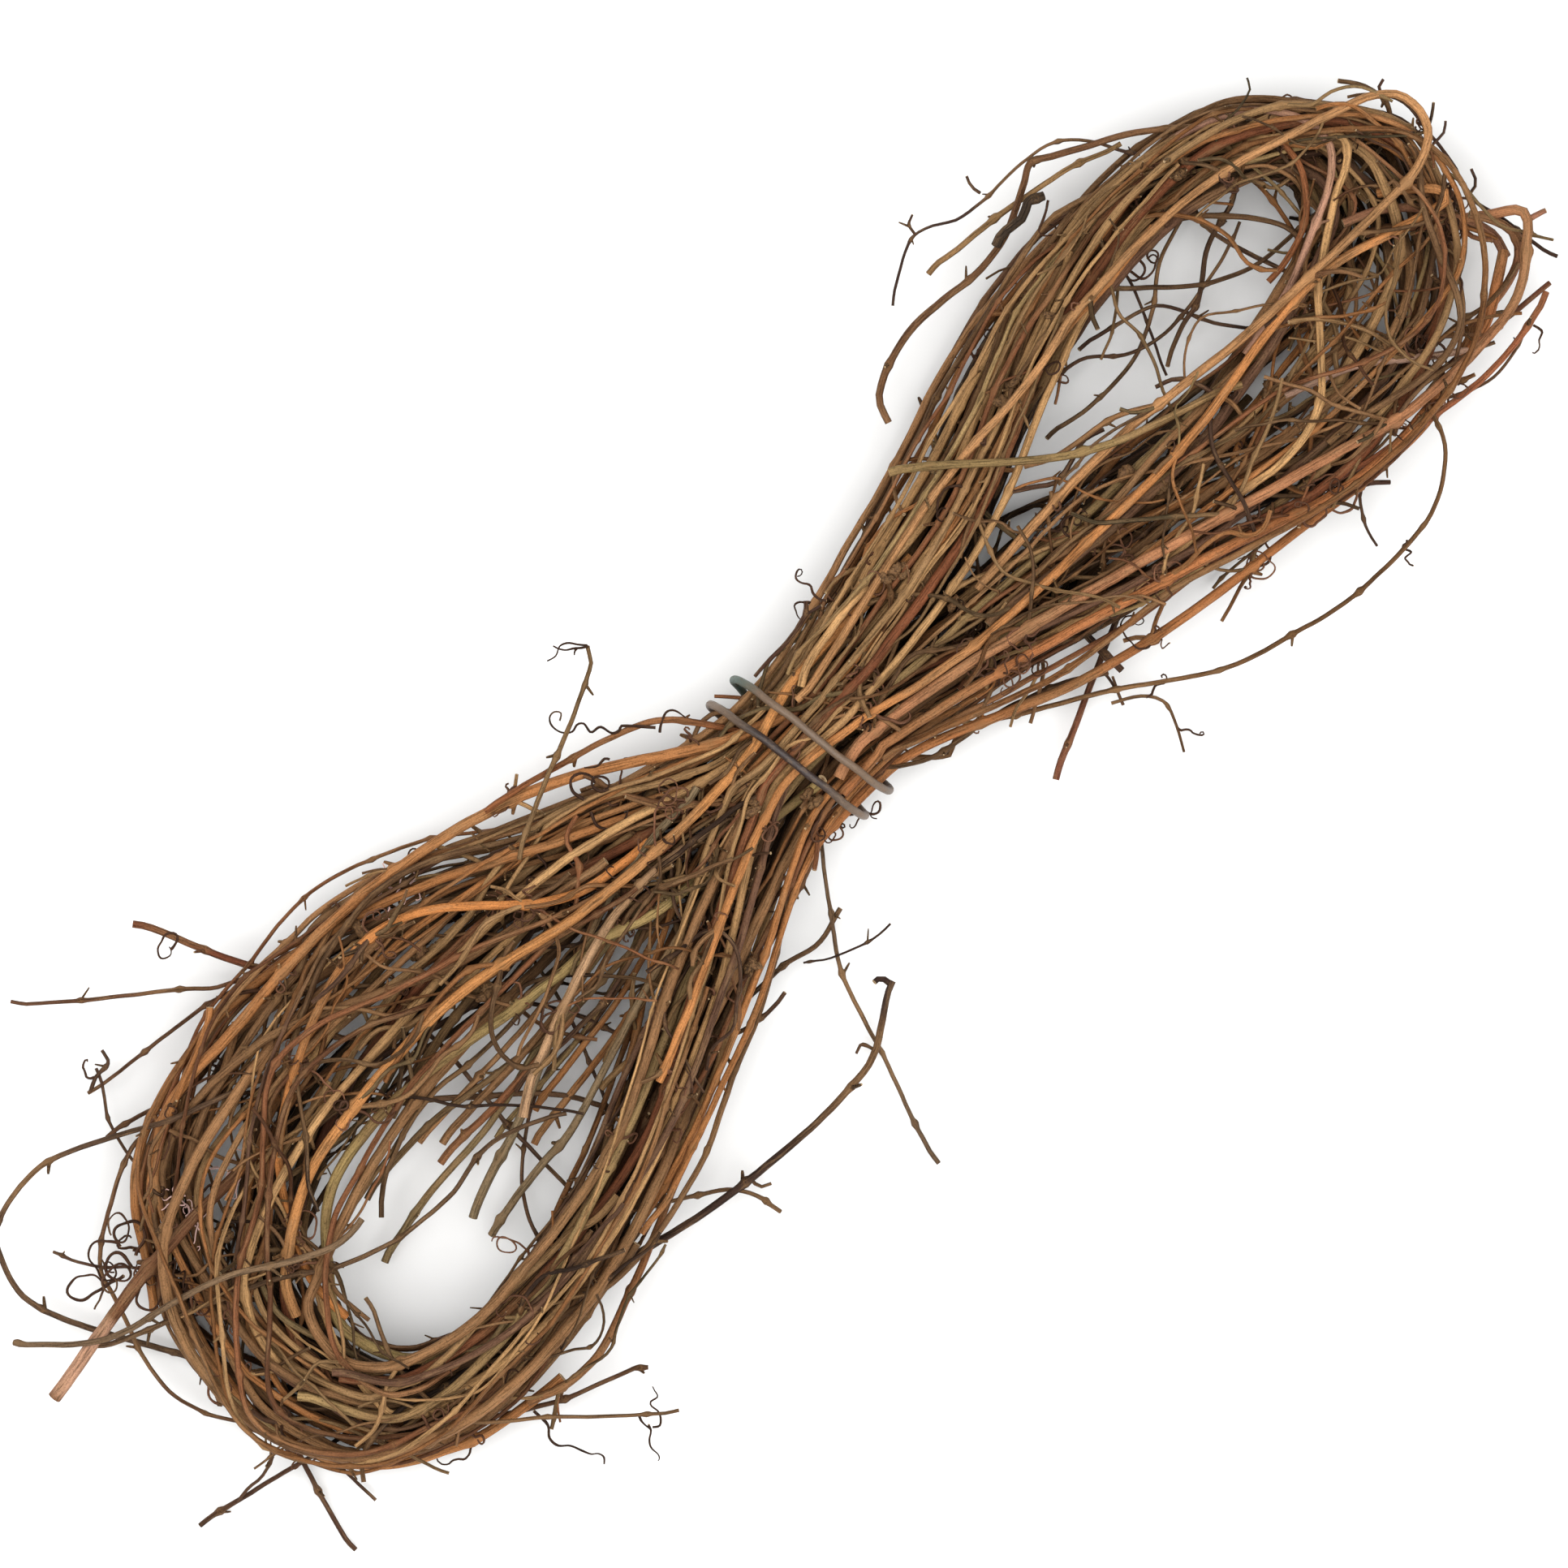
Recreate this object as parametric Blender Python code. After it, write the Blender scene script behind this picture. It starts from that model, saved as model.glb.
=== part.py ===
"""A bundle of grapevine twigs: long canes wound into a hank and cinched at the waist by two turns of wire.

+X runs along the bundle towards its upper loop, +Y across it and +Z up from the surface it lies on.
The origin is the middle of the underside of the bounding box.
"""

import math

import bpy
import numpy as np

MM = 0.001

# Driving dimensions, in millimetres.
PIXEL = 0.25  # one pixel of the photograph, at the bundle's mid height
WAIST_PIXEL = (985.0, 920.0)  # where the photograph shows the middle of the tie
AXIS_ANGLE = math.radians(46.0)  # the bundle's long axis in the photograph, up from rightwards
WAIST_HALF_WIDTH = 26.5
WAIST_HALF_HEIGHT = 19.0
WAIST_HALF_LENGTH = 15.0  # the canes run straight for this far each side of the tie
TIE_DIAMETER = 2.5
TIE_TURNS = 2.1
TIE_PITCH = 10.5
TIE_LEAN = 1.6  # how far the wire lies from square to the bundle, forwards at one side and back at the other
CLEARANCE = 0.4  # air between neighbouring pieces
LOOP_THICKNESS = 38.0  # from the lowest cane's middle to the highest one's, in both loops
CANE_RADII = (1.05, 2.5)  # thinnest and thickest wound cane
CEILING = 46.5  # no cane rises above this
WOUND_CANES = 22
SEED = 11

# Each tube is six-sided and lies on a side, which is this share of its radius below its middle.
FACET_DEPTH = math.cos(math.radians(30))

# How a line of points is thinned before it becomes a tube.
LONGEST_STEP = 60.0
SHARPEST_TURN = math.radians(34.0)
SHORTEST_STEP = 5.0

# How the canes are moved clear of one another: rounds in all, rounds that keep their courses smooth,
# how near two segments must be to be looked at, and room beyond CLEARANCE to end the rounds on.
MOST_TURNS = 900
SMOOTH_TURNS = 560
PAIR_REACH = 4.0
SPARE_CLEARANCE = 0.12

# How far the tie's straight facets cut inside the ellipse that its corners lie on.
TIE_STEPS_PER_TURN = 13
TIE_SAGITTA = WAIST_HALF_WIDTH * (1 - math.cos(math.pi / TIE_STEPS_PER_TURN)) + 0.2
TIE_OFFSET = CLEARANCE + TIE_SAGITTA + TIE_DIAMETER / 2
WAIST_HEIGHT = WAIST_HALF_HEIGHT + TIE_OFFSET + TIE_DIAMETER / 2

# Inner and outer edge of each loop's band of canes: (x, y) from the waist, in order round the loop.
LOWER_INNER = [
    (-15, -7), (-65, 0), (-120, 6), (-170, 6), (-206, -2), (-223, -17),
    (-224, -33), (-212, -46), (-182, -50), (-130, -42), (-68, -17), (-15, 7),
]
LOWER_OUTER = [
    (-15, 25), (-68, 50), (-125, 69), (-182, 74), (-232, 57), (-261, 20),
    (-268, -24), (-250, -60), (-208, -76), (-145, -71), (-78, -48), (-15, -25),
]
UPPER_INNER = [
    (15, 7), (65, 0), (120, -4), (172, -10), (210, -8), (229, 6),
    (229, 20), (214, 31), (185, 36), (140, 33), (75, 12), (15, -7),
]
UPPER_OUTER = [
    (15, -25), (68, -42), (125, -60), (182, -69), (232, -64), (260, -38),
    (268, -6), (251, 22), (226, 46), (172, 54), (85, 30), (15, 25),
]
STATIONS = len(LOWER_INNER)
LOOPS = {"lower": (LOWER_INNER, LOWER_OUTER), "upper": (UPPER_INNER, UPPER_OUTER)}

# The clear way down through each loop: low x, low y, high x, high y from the waist.
GAPS = [(-212, -40, -150, -6), (140, -4, 214, 26)]

# Canes and side shoots whose course shows in the photograph. Each has its radius in millimetres, then
# points as (across, down) in the photograph's pixels with a height in millimetres.
ROUTED = {
    "cane_left_rim": (2.1, [
        (1010, 870, 34), (860, 925, 37), (700, 960, 30), (560, 1030, 26), (446, 1104, 26),
        (348, 1189, 27), (286, 1274, 26), (241, 1323, 25), (205, 1368, 24), (190, 1439, 22), (187, 1500, 20),
        (210, 1586, 18), (255, 1685, 16), (344, 1771, 15), (437, 1808, 14), (560, 1785, 15), (690, 1700, 18),
    ]),
    "cane_forked_orange": (1.7, [
        (800, 1040, 38), (745, 1080, 41), (690, 1108, 42), (567, 1114, 42), (517, 1125, 42), (463, 1153, 42),
        (424, 1198, 41), (399, 1231, 40), (376, 1271, 39), (360, 1318, 38), (348, 1400, 36), (352, 1480, 34),
        (380, 1560, 30), (430, 1620, 28),
    ]),
    "cane_long_orange": (1.9, [
        (1120, 690, 38), (1035, 765, 40), (970, 815, 40), (917, 884, 40), (867, 945, 41), (814, 1014, 42),
        (745, 1083, 44), (668, 1144, 44), (577, 1206, 43), (500, 1271, 41), (430, 1350, 39), (375, 1450, 36),
        (350, 1540, 32), (365, 1620, 28),
    ]),
    "cane_pale_end": (1.9, [
        (1010, 905, 34), (930, 990, 38), (850, 1040, 40), (775, 1098, 41), (737, 1156, 42), (699, 1229, 42),
        (657, 1328, 42), (645, 1374, 41),
    ]),
    "cane_green_pair": (2.0, [
        (1010, 960, 38), (920, 1035, 36), (844, 1083, 36), (783, 1144, 36), (726, 1167, 36), (691, 1202, 35),
        (611, 1271, 35), (500, 1347, 34), (430, 1420, 32), (400, 1500, 30), (400, 1580, 28), (425, 1640, 28),
        (500, 1670, 28), (590, 1650, 28), (680, 1580, 28),
    ]),
    "cane_hooked_orange": (1.7, [
        (1690, 245, 34), (1750, 240, 37), (1776, 255, 39), (1724, 281, 41), (1683, 308, 42), (1627, 346, 43),
        (1572, 398, 44), (1527, 450, 44), (1496, 498, 44), (1438, 587, 44), (1386, 656, 43), (1323, 701, 42),
        (1225, 790, 41), (1158, 848, 40), (1070, 905, 39), (980, 990, 38), (900, 1100, 38), (850, 1200, 38),
        (810, 1330, 36),
    ]),
    "cane_high_arch": (1.6, [
        (960, 850, 38), (1010, 790, 39), (1040, 740, 40), (1100, 660, 41), (1142, 586, 41), (1172, 544, 41),
        (1210, 505, 41), (1257, 467, 41), (1295, 417, 42), (1318, 375, 42), (1356, 337, 43), (1400, 291, 43),
        (1452, 250, 44), (1503, 208, 44), (1555, 177, 45), (1607, 153, 45), (1648, 134, 45), (1697, 124, 45),
        (1731, 143, 45), (1745, 174, 45), (1738, 208, 45), (1710, 246, 45), (1669, 287, 45), (1620, 335, 44),
        (1565, 387, 44), (1520, 432, 43), (1469, 477, 42), (1400, 525, 40), (1300, 610, 38), (1200, 730, 36),
    ]),
    "cane_right_rim": (2.4, [
        (1680, 300, 27), (1738, 284, 30), (1783, 281, 31), (1821, 279, 32), (1852, 273, 34), (1872, 276, 35),
        (1876, 301, 36), (1872, 336, 36),
        (1865, 370, 36), (1845, 408, 35), (1814, 443, 34), (1772, 480, 33), (1723, 520, 34), (1689, 536, 35),
        (1622, 581, 37), (1554, 612, 38), (1487, 652, 39), (1419, 693, 40), (1351, 727, 41), (1284, 761, 41),
        (1200, 820, 40), (1110, 890, 38), (1030, 960, 36),
    ]),
    "cane_right_middle": (2.0, [
        (1850, 310, 22), (1840, 380, 23), (1790, 460, 24), (1740, 520, 25), (1703, 568, 27), (1656, 605, 29),
        (1588, 639, 31), (1537, 663, 33), (1487, 690, 34), (1433, 723, 35), (1368, 757, 35), (1318, 791, 35),
        (1250, 821, 34), (1150, 890, 32), (1040, 985, 28),
    ]),
    "cane_right_low": (1.9, [
        (1815, 400, 17), (1795, 465, 17), (1760, 520, 18), (1723, 556, 20), (1690, 592, 21),
        (1622, 642, 22), (1564, 683, 23), (1537, 705, 24),
        (1487, 750, 24), (1439, 784, 24), (1385, 815, 23), (1318, 848, 22), (1250, 872, 22), (1150, 920, 22),
        (1060, 985, 22), (985, 1075, 22),
    ]),
    "shoot_right_arc": (0.9, [
        (1742, 492, 26), (1765, 530, 24), (1772, 570, 22), (1760, 635, 20), (1735, 675, 18), (1664, 735, 15),
        (1589, 792, 12), (1500, 832, 10), (1417, 862, 9), (1340, 870, 9), (1265, 876, 10), (1205, 905, 10),
        (1186, 928, 9), (1182, 948, 8), (1130, 952, 9), (1080, 966, 12),
    ]),
    "shoot_dark_arc": (1.4, [
        (1098, 1212, 6), (1096, 1250, 6), (1078, 1295, 6), (1050, 1345, 7), (1000, 1395, 8), (921, 1453, 9),
        (860, 1495, 10), (800, 1530, 12), (740, 1570, 14),
    ]),
    "shoot_waist_long": (0.8, [
        (1125, 925, 18), (1085, 965, 17), (1046, 1008, 15), (1042, 1060, 12), (1036, 1130, 9),
        (1046, 1200, 7), (1085, 1283, 5), (1120, 1360, 4), (1156, 1440, 3),
    ]),
    "shoot_left_high": (1.3, [
        (160, 1140, 20), (240, 1166, 20), (312, 1190, 20), (345, 1190, 20), (410, 1180, 18), (480, 1160, 14),
        (560, 1120, 12),
    ]),
    "shoot_left_thin": (0.8, [
        (5, 1237, 12), (95, 1225, 13), (180, 1219, 14), (243, 1223, 15), (283, 1211, 16), (340, 1195, 12),
        (420, 1180, 11),
    ]),
    "shoot_left_fork": (0.8, [
        (98, 1352, 8), (150, 1320, 9), (200, 1275, 10), (260, 1245, 11), (312, 1212, 12), (360, 1180, 10),
        (430, 1140, 9),
    ]),
    "shoot_left_loop": (1.1, [
        (340, 1325, 24), (262, 1352, 27), (225, 1372, 29), (170, 1385, 28), (60, 1433, 24), (8, 1478, 20),
        (-12, 1525, 17), (0, 1568, 14), (40, 1615, 11), (95, 1645, 8), (160, 1664, 7),
        (250, 1687, 7), (330, 1707, 6), (420, 1732, 6),
    ]),
    "shoot_peeled_stub": (2.9, [
        (64, 1723, 26), (108, 1675, 27), (143, 1618, 28), (175, 1570, 29), (236, 1513, 29), (268, 1478, 28),
        (310, 1420, 26),
    ]),
    "shoot_grey_over": (1.2, [
        (15, 1655, 22), (55, 1658, 24), (130, 1657, 29), (160, 1642, 32), (210, 1620, 37), (270, 1592, 42),
        (335, 1568, 43), (400, 1560, 43), (450, 1545, 42), (480, 1528, 41),
    ]),
    "shoot_bottom_left": (0.9, [
        (235, 1889, 5), (285, 1858, 6), (333, 1829, 8), (372, 1808, 9), (420, 1775, 8),
        (490, 1735, 8),
    ]),
    "shoot_bottom_fork": (0.9, [
        (430, 1921, 4), (412, 1880, 5), (388, 1833, 6), (368, 1810, 7), (340, 1790, 8), (318, 1760, 8),
        (285, 1700, 9),
    ]),
    "shoot_bottom_right": (0.8, [
        (834, 1738, 24), (780, 1746, 25), (700, 1743, 26), (655, 1742, 29), (600, 1738, 31), (565, 1725, 33),
        (522, 1688, 36), (488, 1630, 38), (476, 1570, 39),
    ]),
    "shoot_lower_right": (0.9, [
        (795, 1690, 12), (760, 1702, 13), (715, 1715, 14), (660, 1735, 13), (610, 1752, 11),
        (540, 1762, 10),
    ]),
    "shoot_straight_out": (1.2, [
        (1301, 962, 5), (1312, 905, 6), (1325, 860, 7), (1350, 805, 8), (1385, 740, 9), (1405, 700, 9),
        (1450, 630, 10),
    ]),
    "shoot_pale_out": (1.5, [
        (1090, 586, 43), (1150, 582, 44), (1215, 575, 44), (1300, 562, 44), (1370, 545, 44), (1450, 515, 43),
        (1520, 475, 41),
    ]),
    "shoot_upper_drop": (1.3, [
        (1092, 522, 20), (1085, 508, 20), (1083, 485, 20), (1090, 455, 21), (1115, 415, 22), (1150, 375, 23),
        (1190, 340, 25), (1223, 312, 27), (1237, 275, 29), (1258, 235, 30), (1271, 205, 31), (1310, 202, 32),
        (1360, 185, 32), (1420, 165, 31), (1480, 155, 29),
        (1560, 160, 28),
    ]),
    "shoot_upper_thin": (0.6, [
        (1097, 380, 24), (1103, 338, 24), (1128, 291, 25), (1173, 275, 26), (1207, 240, 27), (1245, 213, 28),
        (1286, 187, 29), (1330, 180, 30), (1400, 195, 30),
    ]),
    "shoot_top_right": (0.7, [
        (1914, 319, 26), (1862, 285, 27), (1845, 270, 28), (1800, 248, 33), (1783, 215, 38), (1757, 186, 41),
        (1741, 160, 42), (1712, 135, 42),
        (1650, 130, 41),
    ]),
    "shoot_right_tip": (1.1, [
        (1914, 345, 8), (1890, 375, 9), (1862, 405, 10), (1830, 435, 11), (1790, 462, 12), (1740, 485, 12),
    ]),
    "shoot_waist_left": (0.9, [
        (722, 798, 30), (729, 818, 31), (722, 845, 32), (700, 895, 33), (680, 945, 36),
        (664, 985, 37), (640, 1060, 36),
    ]),
}


def at_pixel(across, down, height):
    """The place from the waist that the photograph shows at a pixel, for a given height."""
    right, up = PIXEL * (across - WAIST_PIXEL[0]), -PIXEL * (down - WAIST_PIXEL[1])
    along = right * math.cos(AXIS_ANGLE) + up * math.sin(AXIS_ANGLE)
    aside = up * math.cos(AXIS_ANGLE) - right * math.sin(AXIS_ANGLE)
    return along, aside, height


def smooth_line(points, step=1.5):
    """Points every step along a Catmull-Rom curve through the given ones."""
    points = np.array(points, float)
    padded = np.vstack([2 * points[0] - points[1], points, 2 * points[-1] - points[-2]])
    line = []
    for a, b, c, d in zip(padded, padded[1:], padded[2:], padded[3:]):
        count = max(2, int(np.linalg.norm(c - b) / step))
        t = np.arange(count)[:, None] / count
        line.append(
            0.5 * (2 * b + (c - a) * t + (2 * a - 5 * b + 4 * c - d) * t**2 + (3 * b - a - 3 * c + d) * t**3)
        )
    return np.vstack([*line, points[-1]])


def thinned(line):
    """Keeps only the points that hold the line's shape, and those where it meets the waist's ends."""
    kept, turned, gone = [line[0]], 0.0, 0.0
    for before, here, after in zip(line, line[1:], line[2:]):
        first, second = here - before, after - here
        lengths = np.linalg.norm(first) * np.linalg.norm(second)
        turned += math.acos(max(-1.0, min(1.0, float(first @ second) / max(lengths, 1e-9))))
        gone += float(np.linalg.norm(first))
        meets_waist = (abs(before[0]) < WAIST_HALF_LENGTH) != (abs(here[0]) < WAIST_HALF_LENGTH)
        if meets_waist or gone > LONGEST_STEP or (turned > SHARPEST_TURN and gone > SHORTEST_STEP):
            kept.append(here)
            turned, gone = 0.0, 0.0
    if np.linalg.norm(line[-1] - kept[-1]) < SHORTEST_STEP and len(kept) > 1:
        kept.pop()
    return np.vstack([*kept, line[-1]])


def wander(rng, steps, size):
    """A slow random swing about zero, one value for each step."""
    swing = np.zeros_like(steps)
    for waves, share in ((0.6, 0.6), (1.4, 0.4)):
        swing += share * np.sin(waves * steps + rng.uniform(0, 2 * math.pi))
    return size * swing


def fade_in(count, reach=4.0):
    """Weights that fall smoothly from 1 at the first of count stations to 0 within reach of it."""
    t = np.clip(1 - np.arange(count) / reach, 0.0, 1.0)
    return t * t * (3 - 2 * t)


def lap(rng, loop, rank, layer):
    """A run round a loop. Rank 0 is the loop's inner edge and 1 its outer; layer 0 is the bottom."""
    inner, outer = LOOPS[loop]
    steps = np.arange(STATIONS, dtype=float)
    ranks = np.clip(rank + wander(rng, steps, 0.2), 0.03, 0.97)[:, None]
    layers = np.clip(layer + wander(rng, steps, 0.16), 0.0, 1.0)
    flat = np.array(inner, float) * (1 - ranks) + np.array(outer, float) * ranks
    return np.column_stack([flat, 1.5 + layers * LOOP_THICKNESS])


def lead_to(points, place):
    """Moves the first stations of a run so that it starts at (y, z) in the waist."""
    points[:, 1:] += fade_in(len(points))[:, None] * (np.array(place) - points[0, 1:])


def waist_place(rng, before, after, layer):
    """(y, z) in the waist for a cane that crosses from one side to a side of the other loop."""
    across = 0.5 * (before + after) * rng.uniform(0.15, 0.92)
    height = (2 * layer - 1) * math.sqrt(1 - across * across)
    return 0.92 * across * WAIST_HALF_WIDTH, WAIST_HEIGHT + 0.92 * height * WAIST_HALF_HEIGHT


def wound_line(index, rng):
    """The middle line of a long cane that winds round one loop, through the waist and round the other."""
    laps = (2, 1, 2, 2, 3)[index % 5]
    rank, layer = (0.7548776662 * index + 0.31) % 1.0, (0.5698402910 * index + 0.17) % 1.0
    name = ("lower", "upper")[index % 2]
    line, side, place = [], 0, None
    for _ in range(laps):
        run = lap(rng, name, rank, layer)
        start = 1 if name == "lower" else -1
        if rng.random() < 0.5:
            run, start = run[::-1].copy(), -start
        if line:
            place = waist_place(rng, side, start, layer)
            lead_to(line[-1][::-1], place)
            lead_to(run, place)
        line.append(run)
        side, name = -start, "upper" if name == "lower" else "lower"
        rank, layer = (rank + 0.38) % 1.0, (layer + 0.21) % 1.0
    # The last lap runs on through the waist and stops part of the way round the next loop.
    run = lap(rng, name, rank, layer)
    start = 1 if name == "lower" else -1
    if rng.random() < 0.5:
        run, start = run[::-1].copy(), -start
    place = waist_place(rng, side, start, layer)
    lead_to(line[-1][::-1], place)
    lead_to(run, place)
    line.append(run[: int(rng.integers(3, 7))])
    whole = np.concatenate(line)
    return whole[int(rng.integers(0, 4)) :]


class Cane:
    """A round stick along a line of points, in millimetres from the waist."""

    def __init__(self, name, points, radius, freedom):
        self.name = name
        self.points = points
        self.radius = radius
        self.freedom = freedom  # how readily its points move along, across and up


def all_canes():
    """Every cane and side shoot before it is moved clear of the others."""
    rng = np.random.default_rng(SEED)
    thin, thick = CANE_RADII
    canes = []
    for index in range(WOUND_CANES):
        line = smooth_line(wound_line(index, rng))
        radius = thin + (thick - thin) * rng.beta(1.4, 2.6)
        canes.append(Cane(f"cane_{index + 1:02d}", thinned(line), radius, (1.0, 1.0, 1.0)))
    for name, (radius, route) in ROUTED.items():
        line = smooth_line([at_pixel(*point) for point in route])
        canes.append(Cane(name, thinned(line), radius, (0.15, 0.15, 0.8)))
    canes.append(Cane("tie_wire", tie_line(), TIE_DIAMETER / 2, (0.0, 0.0, 0.0)))
    return canes


class Tangle:
    """The canes' points as one array, moved until no two canes are nearer than CLEARANCE."""

    def __init__(self, canes):
        self.canes = canes
        self.points = np.vstack([cane.points for cane in canes])
        counts = [len(cane.points) for cane in canes]
        self.owner = np.repeat(np.arange(len(canes)), counts)
        self.radius = np.array([cane.radius for cane in canes])[self.owner]
        self.freedom = np.array([cane.freedom for cane in canes])[self.owner]
        same = self.owner[1:] == self.owner[:-1]
        self.starts = np.flatnonzero(same)  # a segment runs from each of these points to the next
        self.inner = np.flatnonzero(same[1:] & same[:-1]) + 1
        self.first = self.points.copy()

    def near_pairs(self, reach):
        """Segments of different canes, or far apart on one cane, that may come within reach."""
        begin, end = self.points[self.starts], self.points[self.starts + 1]
        middle, half = (begin + end) / 2, np.linalg.norm(end - begin, axis=1) / 2
        size = half + self.radius[self.starts] + reach / 2
        squared = ((middle[:, None] - middle[None]) ** 2).sum(2)
        a, b = np.nonzero(np.triu(squared < (size[:, None] + size[None]) ** 2, 1))
        apart = (self.owner[self.starts[a]] != self.owner[self.starts[b]]) | (b - a > 3)
        return self.starts[a[apart]], self.starts[b[apart]]

    def closest(self, a, b):
        """Where along each pair of segments they come nearest, and the vector between those places."""
        start_a, start_b = self.points[a], self.points[b]
        along_a, along_b = self.points[a + 1] - start_a, self.points[b + 1] - start_b
        gap = start_a - start_b
        aa, bb = (along_a**2).sum(1), (along_b**2).sum(1)
        ab = (along_a * along_b).sum(1)
        ga, gb = (gap * along_a).sum(1), (gap * along_b).sum(1)
        cross = np.maximum(aa * bb - ab * ab, 1e-9)
        s = np.clip((ab * gb - bb * ga) / cross, 0, 1)
        t = np.clip((ab * s + gb) / bb, 0, 1)
        s = np.clip((ab * t - ga) / aa, 0, 1)
        between = gap + along_a * s[:, None] - along_b * t[:, None]
        upright = np.cross(along_a, along_b)
        return s, t, between, upright

    def push_apart(self, a, b, margin):
        """Moves each pair of segments nearer than margin some way apart, and tells whether any was."""
        s, t, between, upright = self.closest(a, b)
        distance = np.linalg.norm(between, axis=1)
        wanted = self.radius[a] + self.radius[b] + margin
        close = distance < wanted
        if not close.any():
            return False
        a, b, s, t = a[close], b[close], s[close], t[close]
        between, upright, distance, wanted = between[close], upright[close], distance[close], wanted[close]
        # Lines that all but meet are parted at right angles to both, the one that began higher on top.
        higher = np.where(self.first[a, 2] >= self.first[b, 2], 1.0, -1.0)
        upright *= np.where(upright[:, 2] * higher < 0, -1.0, 1.0)[:, None]
        upright /= np.maximum(np.linalg.norm(upright, axis=1), 1e-9)[:, None]
        touching = (distance < 0.6)[:, None]
        direction = np.where(touching, upright, between / np.maximum(distance, 1e-9)[:, None])
        push = 0.5 * (wanted - np.where(touching[:, 0], 0.0, distance))[:, None] * direction
        moved, weight = np.zeros_like(self.points), np.full(len(self.points), 1e-9)
        for ends, share, sign in ((a, 1 - s, 1), (a + 1, s, 1), (b, 1 - t, -1), (b + 1, t, -1)):
            np.add.at(moved, ends, sign * push * share[:, None])
            np.add.at(weight, ends, share)
        self.points += 1.4 * self.freedom * moved / np.maximum(weight, 0.5)[:, None]
        return True

    def keep_in_bounds(self):
        """Holds the canes above the surface, inside the tie and out of the gaps through the loops."""
        points, radius = self.points, self.radius
        fixed = points[self.freedom.sum(1) == 0].copy()
        in_waist = np.abs(points[:, 0]) < WAIST_HALF_LENGTH + 3
        wide, high = WAIST_HALF_WIDTH - radius, WAIST_HALF_HEIGHT - radius
        spread = np.hypot(points[:, 1] / wide, (points[:, 2] - WAIST_HEIGHT) / high)
        squeeze = np.where(in_waist & (spread > 1), 1 / np.maximum(spread, 1e-9), 1.0)
        points[:, 1] *= squeeze
        points[:, 2] = WAIST_HEIGHT + (points[:, 2] - WAIST_HEIGHT) * squeeze
        for low_x, low_y, high_x, high_y in GAPS:
            room = radius + 1.0
            to_edge = np.stack([
                points[:, 0] - (low_x - room), (high_x + room) - points[:, 0],
                points[:, 1] - (low_y - room), (high_y + room) - points[:, 1],
            ])
            inside = (to_edge > 0).all(0)
            nearest = to_edge.argmin(0)
            for side, (axis, sign) in enumerate(((0, -1), (0, 1), (1, -1), (1, 1))):
                chosen = inside & (nearest == side)
                points[chosen, axis] += sign * to_edge[side, chosen]
        points[:, 2] = np.clip(points[:, 2], FACET_DEPTH * radius, CEILING - radius)
        points[self.freedom.sum(1) == 0] = fixed

    def smooth(self, amount, pull):
        """Evens out how far neighbouring points have moved, and pulls them a little way back."""
        moved = self.points - self.first
        middle = self.inner
        moved[middle] += amount * ((moved[middle - 1] + moved[middle + 1]) / 2 - moved[middle])
        self.points = self.first + moved * (1 - pull)

    def settle(self):
        """Moves the canes apart, keeping each one's course smooth at first, and gives them the result."""
        for turn in range(MOST_TURNS):
            if turn % 8 == 0:
                a, b = self.near_pairs(PAIR_REACH)
            if turn < SMOOTH_TURNS:
                self.smooth(0.3, 0.004)
            close = self.push_apart(a, b, CLEARANCE + SPARE_CLEARANCE)
            self.keep_in_bounds()
            if turn >= SMOOTH_TURNS and not close:
                break
        for index, cane in enumerate(self.canes):
            cane.points = self.points[self.owner == index]


def tie_line():
    """The wire's middle line: two turns round the waist, with both ends beneath it."""
    steps = int(TIE_STEPS_PER_TURN * TIE_TURNS)
    wide, high = WAIST_HALF_WIDTH + TIE_OFFSET, WAIST_HALF_HEIGHT + TIE_OFFSET
    line = []
    for step in range(steps + 1):
        turns = step / TIE_STEPS_PER_TURN
        angle = math.radians(-80) + 2 * math.pi * turns
        line.append((
            TIE_PITCH * (turns - TIE_TURNS / 2) - TIE_LEAN * math.cos(angle),
            wide * math.cos(angle),
            WAIST_HEIGHT + high * math.sin(angle),
        ))
    return np.array(line)


def coat(name, colour):
    material = bpy.data.materials.new(name)
    material.use_nodes = True
    shader = material.node_tree.nodes["Principled BSDF"]
    shader.inputs["Base Color"].default_value = (*colour, 1.0)
    shader.inputs["Roughness"].default_value = 0.75
    return material


def stick(cane, material, collection):
    """A six-sided tube along the cane's points, closed at both ends."""
    curve = bpy.data.curves.new(cane.name, "CURVE")
    curve.dimensions = "3D"
    curve.bevel_depth = cane.radius * MM
    curve.bevel_resolution = 1
    curve.use_fill_caps = True
    # Only the tie is upright anywhere. The others' sides keep level with the surface.
    curve.twist_mode = "MINIMUM" if cane.name == "tie_wire" else "Z_UP"
    spline = curve.splines.new("POLY")
    spline.points.add(len(cane.points) - 1)
    for point, place in zip(spline.points, cane.points):
        point.co = (*(place * MM), 1.0)
    curve.materials.append(material)
    collection.objects.link(bpy.data.objects.new(cane.name, curve))


def put_origin_below(collection):
    """Moves everything so that the origin is the middle of the bounding box's underside."""
    bpy.context.view_layer.update()
    graph = bpy.context.evaluated_depsgraph_get()
    corners = []
    for obj in collection.objects:
        evaluated = obj.evaluated_get(graph)
        corners += [vertex.co.copy() for vertex in evaluated.to_mesh().vertices]
        evaluated.to_mesh_clear()
    corners = np.array(corners)
    middle = (corners.min(0) + corners.max(0)) / 2
    for obj in collection.objects:
        obj.location = (-middle[0], -middle[1], 0.0)


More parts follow.
